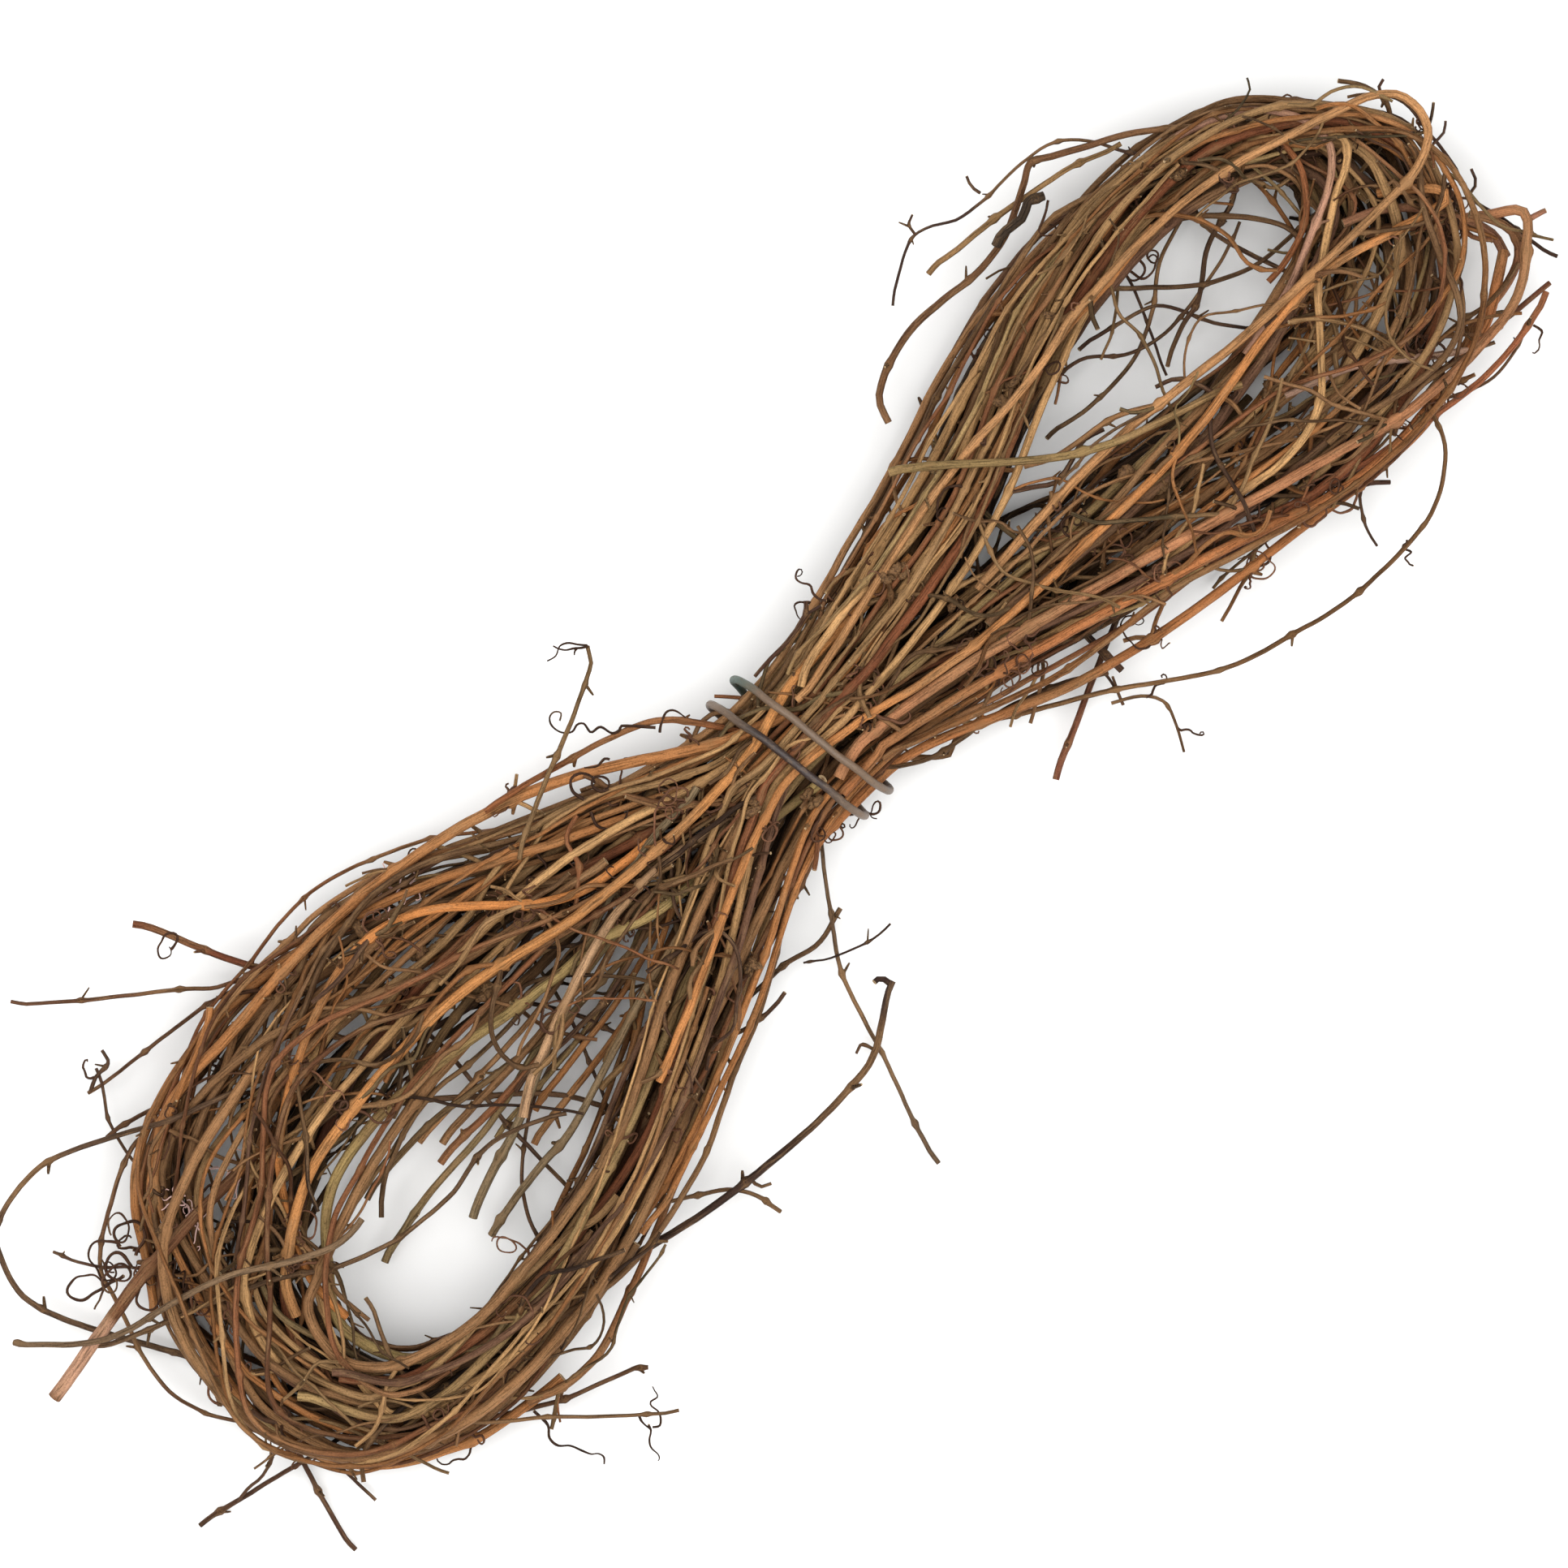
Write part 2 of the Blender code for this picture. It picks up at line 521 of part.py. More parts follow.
def main():
    for obj in list(bpy.data.objects):
        bpy.data.objects.remove(obj)
    collection = bpy.data.collections.new("grapevine_bundle")
    bpy.context.scene.collection.children.link(collection)
    coats = {
        "cane": coat("cane_bark", (0.30, 0.15, 0.07)),
        "shoot": coat("shoot_bark", (0.16, 0.09, 0.05)),
        "tie": coat("tie_coating", (0.10, 0.075, 0.06)),
    }
    tangle = Tangle(all_canes())
    tangle.settle()
    for cane in tangle.canes:
        stick(cane, coats[cane.name.split("_")[0]], collection)
    put_origin_below(collection)


main()
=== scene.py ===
"""The looks of a bundle of grapevine twigs: barked canes, fillers, tendrils, wire tie and a studio.

It runs as a script, and its operators and panel also work as an add-on.
"""

import functools
import math

import bpy
import numpy as np
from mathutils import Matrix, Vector
from mathutils.kdtree import KDTree


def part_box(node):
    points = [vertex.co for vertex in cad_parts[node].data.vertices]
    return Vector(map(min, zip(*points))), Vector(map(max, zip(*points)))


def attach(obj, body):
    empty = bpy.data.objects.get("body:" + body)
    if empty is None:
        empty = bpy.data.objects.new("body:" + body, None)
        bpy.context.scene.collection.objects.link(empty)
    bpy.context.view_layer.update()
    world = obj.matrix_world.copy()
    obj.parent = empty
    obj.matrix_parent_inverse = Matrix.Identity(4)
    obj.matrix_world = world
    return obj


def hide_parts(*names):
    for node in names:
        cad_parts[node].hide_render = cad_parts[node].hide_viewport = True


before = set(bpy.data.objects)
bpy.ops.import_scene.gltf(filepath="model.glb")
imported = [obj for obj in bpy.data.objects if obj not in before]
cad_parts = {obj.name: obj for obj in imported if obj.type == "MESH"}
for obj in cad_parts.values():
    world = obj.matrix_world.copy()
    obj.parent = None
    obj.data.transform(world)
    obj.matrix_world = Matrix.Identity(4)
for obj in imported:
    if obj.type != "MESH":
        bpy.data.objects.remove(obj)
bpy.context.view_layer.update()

bl_info = {
    "name": "Grapevine bundle looks",
    "version": (1, 0, 0),
    "blender": (4, 5, 0),
    "location": "View3D > Sidebar > Grapevine",
    "description": "Builds the barked canes, tendrils and tie of a bundle of grapevine twigs",
    "category": "Add Mesh",
}

MM = 0.001
PIXEL = 0.25  # millimetres for one pixel of the photograph
WAIST_PIXEL = (985.0, 920.0)
AXIS_ANGLE = math.radians(46.0)
TIE_LOW, TIE_HIGH = (np.array(corner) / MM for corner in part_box("tie_wire"))
WAIST = (TIE_LOW + TIE_HIGH) / 2
WAIST_HALF_WIDTH = 25.8
WAIST_HALF_HEIGHT = 18.6
CEILING = 45.5

LOWER_INNER = [
    (-15, -7), (-65, 0), (-120, 6), (-170, 6), (-206, -2), (-223, -17),
    (-224, -33), (-212, -46), (-182, -50), (-130, -42), (-68, -17), (-15, 7),
]
LOWER_OUTER = [
    (-15, 25), (-68, 50), (-125, 69), (-182, 74), (-232, 57), (-261, 20),
    (-268, -24), (-250, -60), (-208, -76), (-145, -71), (-78, -48), (-15, -25),
]
UPPER_INNER = [
    (15, 7), (65, 0), (120, -4), (172, -10), (210, -8), (229, 6),
    (229, 20), (214, 31), (185, 36), (140, 33), (75, 12), (15, -7),
]
UPPER_OUTER = [
    (15, -25), (68, -42), (125, -60), (182, -69), (232, -64), (260, -38),
    (268, -6), (251, 22), (226, 46), (172, 54), (85, 30), (15, 25),
]
LOOPS = {"lower": (LOWER_INNER, LOWER_OUTER), "upper": (UPPER_INNER, UPPER_OUTER)}
STATIONS = len(LOWER_INNER)

# Bark colours, sRGB, with how common each is among the canes.
BARKS = {
    "orange": ((160, 106, 62), 0.2),
    "tan": ((166, 128, 85), 0.23),
    "brown": ((138, 100, 66), 0.25),
    "russet": ((132, 84, 54), 0.15),
    "dark": ((88, 62, 46), 0.11),
    "olive": ((138, 113, 75), 0.06),
}

# Bark colours of the canes and shoots whose own colour shows.
CANE_BARK = {
    "cane_left_rim": (164, 110, 66), "cane_forked_orange": (180, 116, 64), "cane_long_orange": (176, 120, 70),
    "cane_pale_end": (160, 126, 94), "cane_green_pair": (152, 128, 82), "cane_hooked_orange": (174, 116, 68),
    "cane_high_arch": (168, 122, 80), "cane_right_rim": (158, 108, 74), "cane_right_middle": (158, 100, 60),
    "cane_right_low": (152, 98, 58), "shoot_right_arc": (122, 86, 54), "shoot_dark_arc": (70, 50, 40),
    "shoot_waist_long": (116, 90, 66), "shoot_left_high": (128, 72, 48), "shoot_left_thin": (110, 74, 52),
    "shoot_left_fork": (118, 82, 58), "shoot_left_loop": (104, 78, 58), "shoot_peeled_stub": (138, 92, 62),
    "shoot_grey_over": (138, 110, 82), "shoot_bottom_left": (96, 66, 48), "shoot_bottom_fork": (92, 62, 46),
    "shoot_bottom_right": (126, 94, 64), "shoot_lower_right": (110, 76, 52),
    "shoot_straight_out": (128, 74, 54), "shoot_pale_out": (166, 136, 88),
    "shoot_upper_drop": (122, 84, 56), "shoot_upper_thin": (74, 52, 42), "shoot_top_right": (78, 54, 42),
    "shoot_right_tip": (120, 72, 50), "shoot_waist_left": (142, 110, 74),
}

OLD_BARK = {"cane_21": (112, 66, 42)}  # near where the photograph has a thick dark red strand
WORN_BARK = (136, 102, 68)  # where the outer bark is rubbed off
BURL_BARK = (104, 76, 54)
PLACED_TENDRIL, DRAWN_TENDRIL, LOOSE_TENDRIL = (74, 50, 36), (62, 42, 31), (88, 60, 44)
BARK_STEP = 0.6180339887  # the golden ratio, which spreads the bark colours evenly over the canes
TONE_STEP = 0.7548776662  # the same for how light or dark each cane is

# Where rough knots are put on top of the bands, in pixels. The photograph shows a knot or joint at about
# 14 of these places.
BURLS = [
    (1450, 205), (1440, 225), (1300, 400), (1248, 478), (1232, 500), (1560, 480), (1700, 425), (1090, 715),
    (1102, 705), (520, 1170), (600, 1215), (536, 1168), (345, 1340), (285, 1520), (292, 1500), (925, 1000),
    (880, 1065), (1182, 745), (1430, 600), (1765, 460), (925, 1185), (1000, 985), (1390, 590), (450, 1150),
]

# Twigs too thin or too far inside for a solid: radius in millimetres, colour, then (across, down) in
# the photograph's pixels with a height in millimetres.
TWIGS = [
    # Beside the long arc at the right.
    (0.55, (104, 74, 50), [
        (1372, 866, 10), (1412, 857, 9), (1439, 865, 7), (1455, 896, 5), (1464, 926, 3),
    ]),
    (0.5, (96, 66, 46), [(1387, 868, 9), (1380, 850, 10), (1373, 833, 12)]),
    # Below the tie.
    (0.8, (112, 82, 56), [
        (1036, 1120, 10), (1009, 1164, 9), (971, 1187, 9), (932, 1221, 11), (900, 1255, 14),
    ]),
    (0.35, (70, 50, 40), [
        (1098, 1139, 12), (1070, 1160, 11), (1036, 1177, 10), (1012, 1186, 9), (990, 1188, 9),
    ]),
    (1.0, (66, 46, 38), [(1098, 1214, 7), (1086, 1206, 8), (1078, 1212, 9)]),
    (0.55, (86, 60, 46), [(1078, 1296, 6), (1062, 1290, 6), (1056, 1301, 5)]),
    # Twigs at the left.
    (0.6, (96, 70, 52), [(105, 1348, 8), (112, 1330, 9), (128, 1312, 10), (120, 1296, 10)]),
    (0.7, (112, 78, 54), [(127, 1404, 12), (192, 1368, 13), (246, 1357, 15), (330, 1340, 18)]),
    (0.5, (94, 66, 48), [
        (112, 1319, 8), (118, 1352, 9), (125, 1386, 9), (179, 1453, 9), (232, 1497, 10), (280, 1520, 12),
    ]),
    (0.7, (120, 84, 58), [
        (180, 1395, 18), (161, 1408, 19), (143, 1448, 20), (132, 1502, 20), (124, 1564, 19),
        (137, 1596, 17), (153, 1634, 15), (166, 1669, 13), (207, 1720, 12), (239, 1739, 11),
        (271, 1750, 10), (340, 1765, 9),
    ]),
    (0.8, (112, 84, 60), [
        (112, 1657, 26), (137, 1658, 27), (200, 1632, 30), (262, 1602, 33), (335, 1575, 34),
        (420, 1556, 34), (491, 1520, 34), (558, 1471, 33), (612, 1408, 32), (700, 1370, 30),
    ]),
    (0.5, (92, 64, 48), [
        (62, 1545, 14), (90, 1556, 18), (130, 1560, 22), (165, 1560, 26), (205, 1575, 28),
    ]),
    # Twigs at the bottom and lower right.
    (0.5, (90, 62, 46), [(458, 1857, 4), (421, 1822, 5), (399, 1803, 6), (360, 1790, 8)]),
    (0.5, (96, 68, 50), [(287, 1858, 6), (300, 1842, 7), (318, 1826, 8), (332, 1800, 9)]),
    (1.3, (150, 98, 60), [
        (650, 1729, 20), (693, 1711, 20.5), (735, 1673, 20), (757, 1632, 19), (790, 1560, 20),
        (822, 1480, 22), (850, 1400, 24),
    ]),
    (0.7, (124, 92, 62), [
        (962, 1497, 8), (940, 1478, 10), (900, 1469, 12), (860, 1478, 14), (800, 1490, 18),
    ]),
    (0.6, (108, 78, 54), [(924, 1455, 10), (936, 1466, 9), (950, 1462, 8)]),
    # Pale canes that end in the lower loop.
    (1.3, (150, 128, 96), [
        (580, 1504, 10), (606, 1446, 13), (638, 1386, 17), (670, 1301, 22), (700, 1234, 27),
        (740, 1130, 33), (800, 1040, 36), (860, 970, 37),
    ]),
    (1.2, (158, 132, 98), [
        (603, 1526, 9), (625, 1493, 12), (670, 1430, 16), (700, 1395, 19), (760, 1290, 24),
        (820, 1180, 28), (880, 1080, 30), (940, 990, 30),
    ]),
    (1.1, (146, 122, 84), [
        (470, 1560, 7), (530, 1470, 9), (600, 1385, 12), (668, 1280, 15), (740, 1180, 19), (820, 1090, 23),
    ]),
    (1.0, (126, 98, 66), [
        (450, 1480, 14), (520, 1400, 15), (600, 1330, 17), (690, 1262, 18), (770, 1180, 20),
        (850, 1080, 22),
    ]),
    (0.9, (110, 80, 56), [
        (420, 1380, 20), (500, 1360, 17), (590, 1350, 14), (680, 1350, 12), (770, 1375, 12),
        (850, 1390, 13),
    ]),
    (0.7, (96, 70, 52), [
        (500, 1250, 24), (560, 1310, 18), (620, 1380, 12), (680, 1450, 9), (740, 1520, 10),
    ]),
    (0.7, (88, 62, 46), [
        (560, 1250, 16), (640, 1240, 14), (720, 1255, 12), (800, 1290, 12), (880, 1300, 14),
    ]),
    (0.6, (84, 60, 46), [(640, 1170, 16), (690, 1240, 12), (730, 1320, 9), (750, 1400, 8), (745, 1480, 9)]),
    (0.8, (112, 84, 58), [
        (470, 1500, 22), (480, 1440, 22), (530, 1350, 21), (610, 1280, 20), (700, 1190, 20),
        (770, 1120, 22),
    ]),
    (0.6, (100, 72, 52), [
        (690, 1560, 14), (650, 1500, 10), (640, 1420, 8), (665, 1340, 9), (730, 1260, 12), (780, 1200, 16),
    ]),
    # Beside the tie.
    (1.0, (156, 96, 58), [
        (930, 905, 27), (880, 893, 31), (843, 888, 33), (809, 889, 34), (782, 897, 34), (741, 917, 34),
        (690, 945, 34), (640, 975, 33), (600, 1000, 32),
    ]),
    (0.7, (88, 58, 44), [(993, 742, 36), (992, 758, 36), (975, 785, 36), (950, 812, 36), (930, 835, 35)]),
    (0.45, (76, 52, 42), [(993, 759, 36), (1004, 752, 36), (1012, 748, 37)]),
    # Upper left of the upper loop.
    (0.9, (156, 120, 78), [
        (1144, 337, 20), (1184, 310, 23), (1238, 265, 26), (1280, 234, 28), (1318, 207, 30),
        (1380, 180, 30),
    ]),
    (1.5, (70, 56, 44), [
        (1226, 306, 32), (1231, 294, 34), (1240, 286, 35), (1258, 272, 35), (1264, 254, 35),
        (1284, 246, 34),
    ]),
    (0.5, (84, 58, 44), [(1207, 240, 27), (1196, 232, 28), (1190, 220, 29)]),
    (0.45, (84, 58, 44), [(1128, 291, 25), (1120, 278, 26), (1124, 266, 27)]),
    # Inside and beside the top of the upper loop.
    (1.2, (204, 152, 124), [
        (1440, 178, 34), (1498, 152, 36), (1542, 144, 38), (1598, 156, 40), (1631, 185, 41),
        (1635, 221, 41), (1622, 269, 40), (1606, 310, 38), (1582, 362, 36), (1530, 440, 34),
    ]),
    (1.1, (168, 104, 64), [
        (1360, 300, 30), (1400, 240, 32), (1460, 190, 34), (1520, 165, 35), (1570, 175, 35),
        (1600, 215, 34), (1600, 280, 32), (1560, 350, 30),
    ]),
    (0.8, (100, 72, 52), [
        (1524, 231, 14), (1489, 297, 13), (1481, 366, 12), (1463, 398, 13), (1440, 450, 16),
    ]),
    (0.8, (106, 78, 54), [
        (1330, 366, 22), (1345, 362, 20), (1409, 354, 17), (1493, 342, 15), (1550, 322, 15),
        (1590, 293, 17), (1640, 250, 20),
    ]),
    (0.9, (120, 88, 60), [
        (1340, 330, 22), (1381, 293, 20), (1461, 265, 18), (1522, 261, 17), (1574, 273, 18),
        (1598, 289, 20), (1630, 330, 22),
    ]),
    (0.8, (90, 64, 48), [
        (1440, 190, 18), (1473, 233, 15), (1469, 253, 14), (1485, 277, 13), (1526, 302, 13),
        (1590, 330, 16), (1640, 350, 20),
    ]),
    (0.6, (84, 60, 46), [
        (1330, 430, 18), (1380, 400, 14), (1430, 372, 12), (1500, 390, 12), (1560, 400, 14),
    ]),
    (0.6, (92, 66, 48), [
        (1290, 480, 20), (1340, 440, 16), (1400, 430, 13), (1450, 400, 12), (1500, 330, 12),
        (1530, 270, 14),
    ]),
    (0.7, (100, 74, 52), [
        (1290, 540, 20), (1350, 500, 16), (1400, 440, 13), (1420, 380, 12), (1430, 320, 13),
        (1470, 250, 16),
    ]),
    (0.5, (80, 56, 44), [(1350, 300, 16), (1390, 340, 13), (1420, 400, 11), (1440, 460, 12)]),
    # The right of the upper loop.
    (1.2, (212, 168, 142), [
        (1850, 400, 20), (1836, 410, 22), (1824, 426, 24), (1790, 436, 26), (1743, 443, 28),
        (1663, 455, 30), (1580, 490, 31),
    ]),
    (1.5, (160, 110, 80), [
        (1856, 316, 21), (1838, 290, 24), (1800, 272, 28), (1755, 262, 31), (1700, 262, 33),
        (1650, 280, 34),
    ]),
    (1.4, (150, 100, 68), [
        (1816, 402, 17), (1846, 366, 20), (1866, 330, 24), (1868, 300, 27), (1850, 280, 30),
        (1805, 268, 33),
    ]),
    (0.9, (176, 120, 92), [(1876, 276, 35), (1886, 270, 36), (1897, 265, 37)]),
    (1.0, (166, 100, 66), [
        (1905, 360, 22), (1880, 400, 24), (1840, 452, 26), (1780, 505, 28), (1710, 552, 29),
        (1620, 605, 30), (1520, 655, 30), (1400, 715, 30), (1290, 770, 30), (1180, 850, 30),
    ]),
    (0.5, (92, 64, 48), [(1690, 585, 14), (1679, 608, 13), (1687, 644, 10), (1703, 670, 6)]),
    (0.8, (88, 60, 46), [(1660, 600, 20), (1695, 594, 18), (1715, 593, 17)]),
    (0.5, (90, 62, 46), [
        (1745, 500, 16), (1790, 490, 17), (1835, 470, 18), (1860, 440, 20), (1880, 400, 22),
    ]),
    (0.5, (82, 58, 46), [(1800, 250, 34), (1812, 232, 35), (1806, 214, 36)]),
    (0.45, (82, 58, 46), [(1757, 186, 41), (1770, 172, 41), (1772, 158, 42)]),
    (0.5, (82, 56, 44), [(1693, 126, 43), (1690, 116, 43), (1696, 108, 43)]),
    # The shoot under the right band, and the stubs beside it.
    (1.3, (96, 68, 52), [(1300, 790, 14), (1328, 774, 12), (1358, 800, 11), (1385, 825, 10)]),
    (0.8, (110, 78, 54), [(1230, 880, 16), (1262, 862, 14), (1320, 838, 12), (1368, 828, 10)]),
    (0.45, (80, 56, 44), [(1363, 828, 10), (1372, 840, 9), (1378, 852, 8)]),
]

# Thin canes that fan out from the waist over the lower loop: how many, the two pixels that their upper
# ends lie between, the two that their lower ends lie between, and their heights in millimetres.
FAN = (11, ((770, 1010), (930, 1120)), ((455, 1480), (770, 1400)), (12, 26))

# Tendrils placed one by one: kind, radius, pixel of the root, heading in degrees, size in millimetres.
TENDRILS = [
    ("crook", 0.28, (1018, 742, 37), 160, 13), ("curl", 0.35, (165, 1560, 27), 170, 16),
    ("curl", 0.35, (170, 1545, 28), 90, 15), ("curl", 0.35, (155, 1570, 27), 215, 15),
    ("curl", 0.3, (180, 1575, 29), 250, 14), ("curl", 0.3, (150, 1535, 25), 130, 13),
    ("spring", 0.3, (205, 1545, 30), 320, 15), ("crook", 0.28, (575, 1765, 12), 250, 14),
    ("curl", 0.3, (1381, 334, 20), 40, 11), ("curl", 0.32, (1370, 340, 20), 160, 12),
    ("curl", 0.3, (1390, 330, 19), 280, 10), ("spring", 0.28, (1480, 225, 22), 250, 11),
    ("curl", 0.28, (1290, 250, 30), 220, 9), ("spring", 0.3, (1215, 430, 26), 200, 12),
    ("curl", 0.28, (1205, 445, 24), 180, 9), ("crook", 0.28, (1455, 896, 5), 320, 8),
    ("crook", 0.3, (1415, 858, 9), 20, 9),
    ("crook", 0.28, (1040, 1000, 12), 330, 8), ("curl", 0.3, (250, 1500, 26), 150, 10),
    ("spring", 0.3, (1735, 665, 18), 270, 8), ("crook", 0.3, (112, 1330, 9), 160, 7),
    ("curl", 0.28, (210, 1170, 20), 60, 8), ("crook", 0.28, (1890, 400, 20), 300, 8),
    ("curl", 0.28, (620, 1690, 30), 330, 9), ("curl", 0.3, (1060, 1000, 10), 340, 6),
]

# Tendrils drawn point by point: radius, heights at the root and the tip, and pixels from root to tip.
DRAWN_TENDRILS = [
    # Beside the tie.
    (0.42, 36, 33, [
        (809, 897), (767, 895), (765, 900), (756, 904), (741, 896), (730, 903), (721, 892), (713, 893),
        (707, 902), (694, 903), (682, 895), (679, 885), (684, 878), (693, 879), (691, 890),
    ]),
    (0.38, 31, 32, [(726, 797), (719, 799), (707, 800), (699, 802), (689, 800), (682, 796)]),
    (0.34, 31, 30, [(725, 796), (713, 795), (701, 793), (691, 797), (686, 809), (674, 816)]),
    (0.34, 31, 30, [(712, 800), (709, 804), (709, 811)]),
    (0.4, 34, 36, [(814, 903), (815, 895), (822, 878), (832, 876), (846, 885)]),
    (0.4, 37, 37, [(753, 936), (747, 935), (738, 944), (727, 946), (719, 946)]),
    (0.5, 38, 38, [(722, 985), (708, 975), (706, 960), (717, 953), (730, 956), (736, 966)]),
    (0.45, 38, 38, [
        (752, 972), (742, 975), (732, 968), (733, 959), (744, 957), (752, 962), (751, 971), (744, 972),
    ]),
    (0.45, 38, 38, [(730, 1000), (738, 1017), (755, 1021), (770, 1012), (776, 997)]),
    # At the lower right.
    (0.44, 18, 3, [
        (657, 1740), (674, 1758), (676, 1775), (686, 1785), (701, 1786), (718, 1794), (727, 1798),
        (735, 1798), (742, 1803), (742, 1815),
    ]),
    (0.34, 23, 24, [
        (804, 1758), (813, 1756), (814, 1745), (811, 1738), (802, 1731), (802, 1726), (811, 1720),
        (807, 1713), (804, 1707),
    ]),
    (0.34, 22, 16, [
        (799, 1755), (802, 1763), (800, 1775), (802, 1785), (811, 1794), (812, 1800), (809, 1804),
    ]),
    (0.4, 23, 20, [(787, 1742), (791, 1752), (804, 1764)]),
]

# Where the bark has been stripped from the thick stub: from and to, in millimetres, and the bare wood.
PEELED = (0.0, 33.0, (186, 142, 114))

# Where twine fibres are caught, in pixels, how many at each place, and their radius in millimetres.
TWINE_SHREDS = [(480, 1100), (300, 1440), (240, 1500)]
TWINE_FIBRES, TWINE_RADIUS, TWINE_TINT = 8, 0.26, (232, 204, 192)

# The bark's radius over its solid's, which takes in the swollen joints, and where it is less.
SLIM = 0.84
SLIMMER = {"shoot_peeled_stub": 0.7, "cane_right_rim": 0.72, "cane_pale_end": 0.76}
SHOOT_SHADE = 0.8  # how dark the shoots and twigs outside the bands are for their colours
FLOOR_GAP = 0.02  # millimetres from the floor to the lowest bark
BAKE_MARGIN = 0.6  # millimetres between the tubes' rows when they are laid out flat

# A painted shade that darkens canes with depth, to match the dark gaps of the photograph from above:
# how light a cane is at the top and far down, in how many millimetres it darkens, and how sharply.
TOP_SHADE, DEEP_SHADE, SHADE_DEPTH, SHADE_FALL = 1.06, 0.1, 7.0, 1.3

# Thin canes: meshes that they are shared out to, millimetres between their points and between the
# points of the canes they keep clear of, and the gap they keep.
THIN_GROUPS, THIN_STEP, FIXED_STEP, THIN_GAP = 6, 9.0, 8.0, 0.25
SETTLE_TURNS, SMOOTH_TURNS, SEARCH_EVERY, SEARCH_REACH = 170, 130, 10, 3.0
TIE_REACH = 17.0  # millimetres either way along the waist in which they stay inside the tie

# Roots more than so many millimetres down in the bundle are mostly left out, because they don't show.
DEEP_SHOOT = (8.0, 0.8)
DEEP_TENDRIL = (5.0, 0.85)

# The studio: the pixel straight below the camera, the lens, the floor and the lights, each with its
# share of the key light's power, its size and its place from the middle of the bundle, in metres.
IMAGE_MIDDLE = (966.0, 966.0)
LENS, SENSOR = 135.0, 36.0
FLOOR_REACH = 4.0
LIGHTS = {"key_light": (1.0, 2.2, (0.2, -0.55, 1.5)), "side_light": (0.35, 1.2, (-0.5, 0.7, 1.3))}


def at_pixel(across, down, height):
    """The place, in millimetres, that the photograph shows at a pixel, for a given height."""
    right, up = PIXEL * (across - WAIST_PIXEL[0]), -PIXEL * (down - WAIST_PIXEL[1])
    along = right * math.cos(AXIS_ANGLE) + up * math.sin(AXIS_ANGLE)
    aside = up * math.cos(AXIS_ANGLE) - right * math.sin(AXIS_ANGLE)
    return WAIST[0] + along, WAIST[1] + aside, height


def heading(degrees):
    """A level direction given by its angle in the photograph, up from rightwards."""
    angle = math.radians(degrees) - AXIS_ANGLE
    return np.array([math.cos(angle), math.sin(angle), 0.0])


def linear(colour):
    """An sRGB colour of 0 to 255 as the linear values that a shader takes."""
    share = np.array(colour, float) / 255
    return np.where(share <= 0.04045, share / 12.92, ((share + 0.055) / 1.055) ** 2.4)


def unit(vector):
    return vector / max(np.linalg.norm(vector), 1e-9)


def shaded(rng, colour, low, high):
    """A colour made darker or lighter by a random share."""
    return np.array(colour) * rng.uniform(low, high)


# Lines and tubes.


def smooth_line(points, step=1.0):
    """Points every step along a Catmull-Rom curve through the given ones."""
    points = np.array(points, float)
    padded = np.vstack([2 * points[0] - points[1], points, 2 * points[-1] - points[-2]])
    line = []
    for a, b, c, d in zip(padded, padded[1:], padded[2:], padded[3:]):
        count = max(2, int(np.linalg.norm(c - b) / step))
        t = np.arange(count)[:, None] / count
        # Uneven spacing is evened out, so that a short step beside a long one makes no loop.
        reach = np.linalg.norm(c - b)
        start = (c - a) * reach / max(np.linalg.norm(b - a) + reach, 1e-6)
        end = (d - b) * reach / max(np.linalg.norm(d - c) + reach, 1e-6)
        h = t * t * (3 - 2 * t)
        line.append(b + (c - b) * h + start * (t - 2 * t**2 + t**3) + end * (t**3 - t**2))
    return np.vstack([*line, points[-1]])


def arc_length(line):
    return np.concatenate([[0.0], np.cumsum(np.linalg.norm(np.diff(line, axis=0), axis=1))])


def at_lengths(line, lengths):
    """The places at the given distances along a line."""
    run = arc_length(line)
    return np.column_stack([np.interp(lengths, run, line[:, k]) for k in range(3)])


def frames_along(line):
    """Two unit vectors square to the line at each point, turning no more than the line makes them."""
    ahead = np.gradient(line, axis=0)
    ahead /= np.maximum(np.linalg.norm(ahead, axis=1), 1e-9)[:, None]
    side = np.cross(ahead[0], (0.0, 0.0, 1.0))
    if np.linalg.norm(side) < 0.1:
        side = np.cross(ahead[0], (0.0, 1.0, 0.0))
    sides = np.empty_like(line)
    for k, forward in enumerate(ahead):
        side = side - forward * (side @ forward)
        side = side / max(math.sqrt(side @ side), 1e-9)
        sides[k] = side
    return ahead, sides, np.cross(sides, ahead)


# What the materials read at each vertex: the bark's colour, which on the canes is darkened by a painted shade
# that grows with depth in the bundle, the place along and round the cane, how near a joint is, and 1 at the
# middle of a sawn end.
ATTRIBUTES = {
    "tint": ("FLOAT_COLOR", "color"),
    "grain": ("FLOAT_VECTOR", "vector"),
    "knot": ("FLOAT", "value"),
    "cut": ("FLOAT", "value"),
}


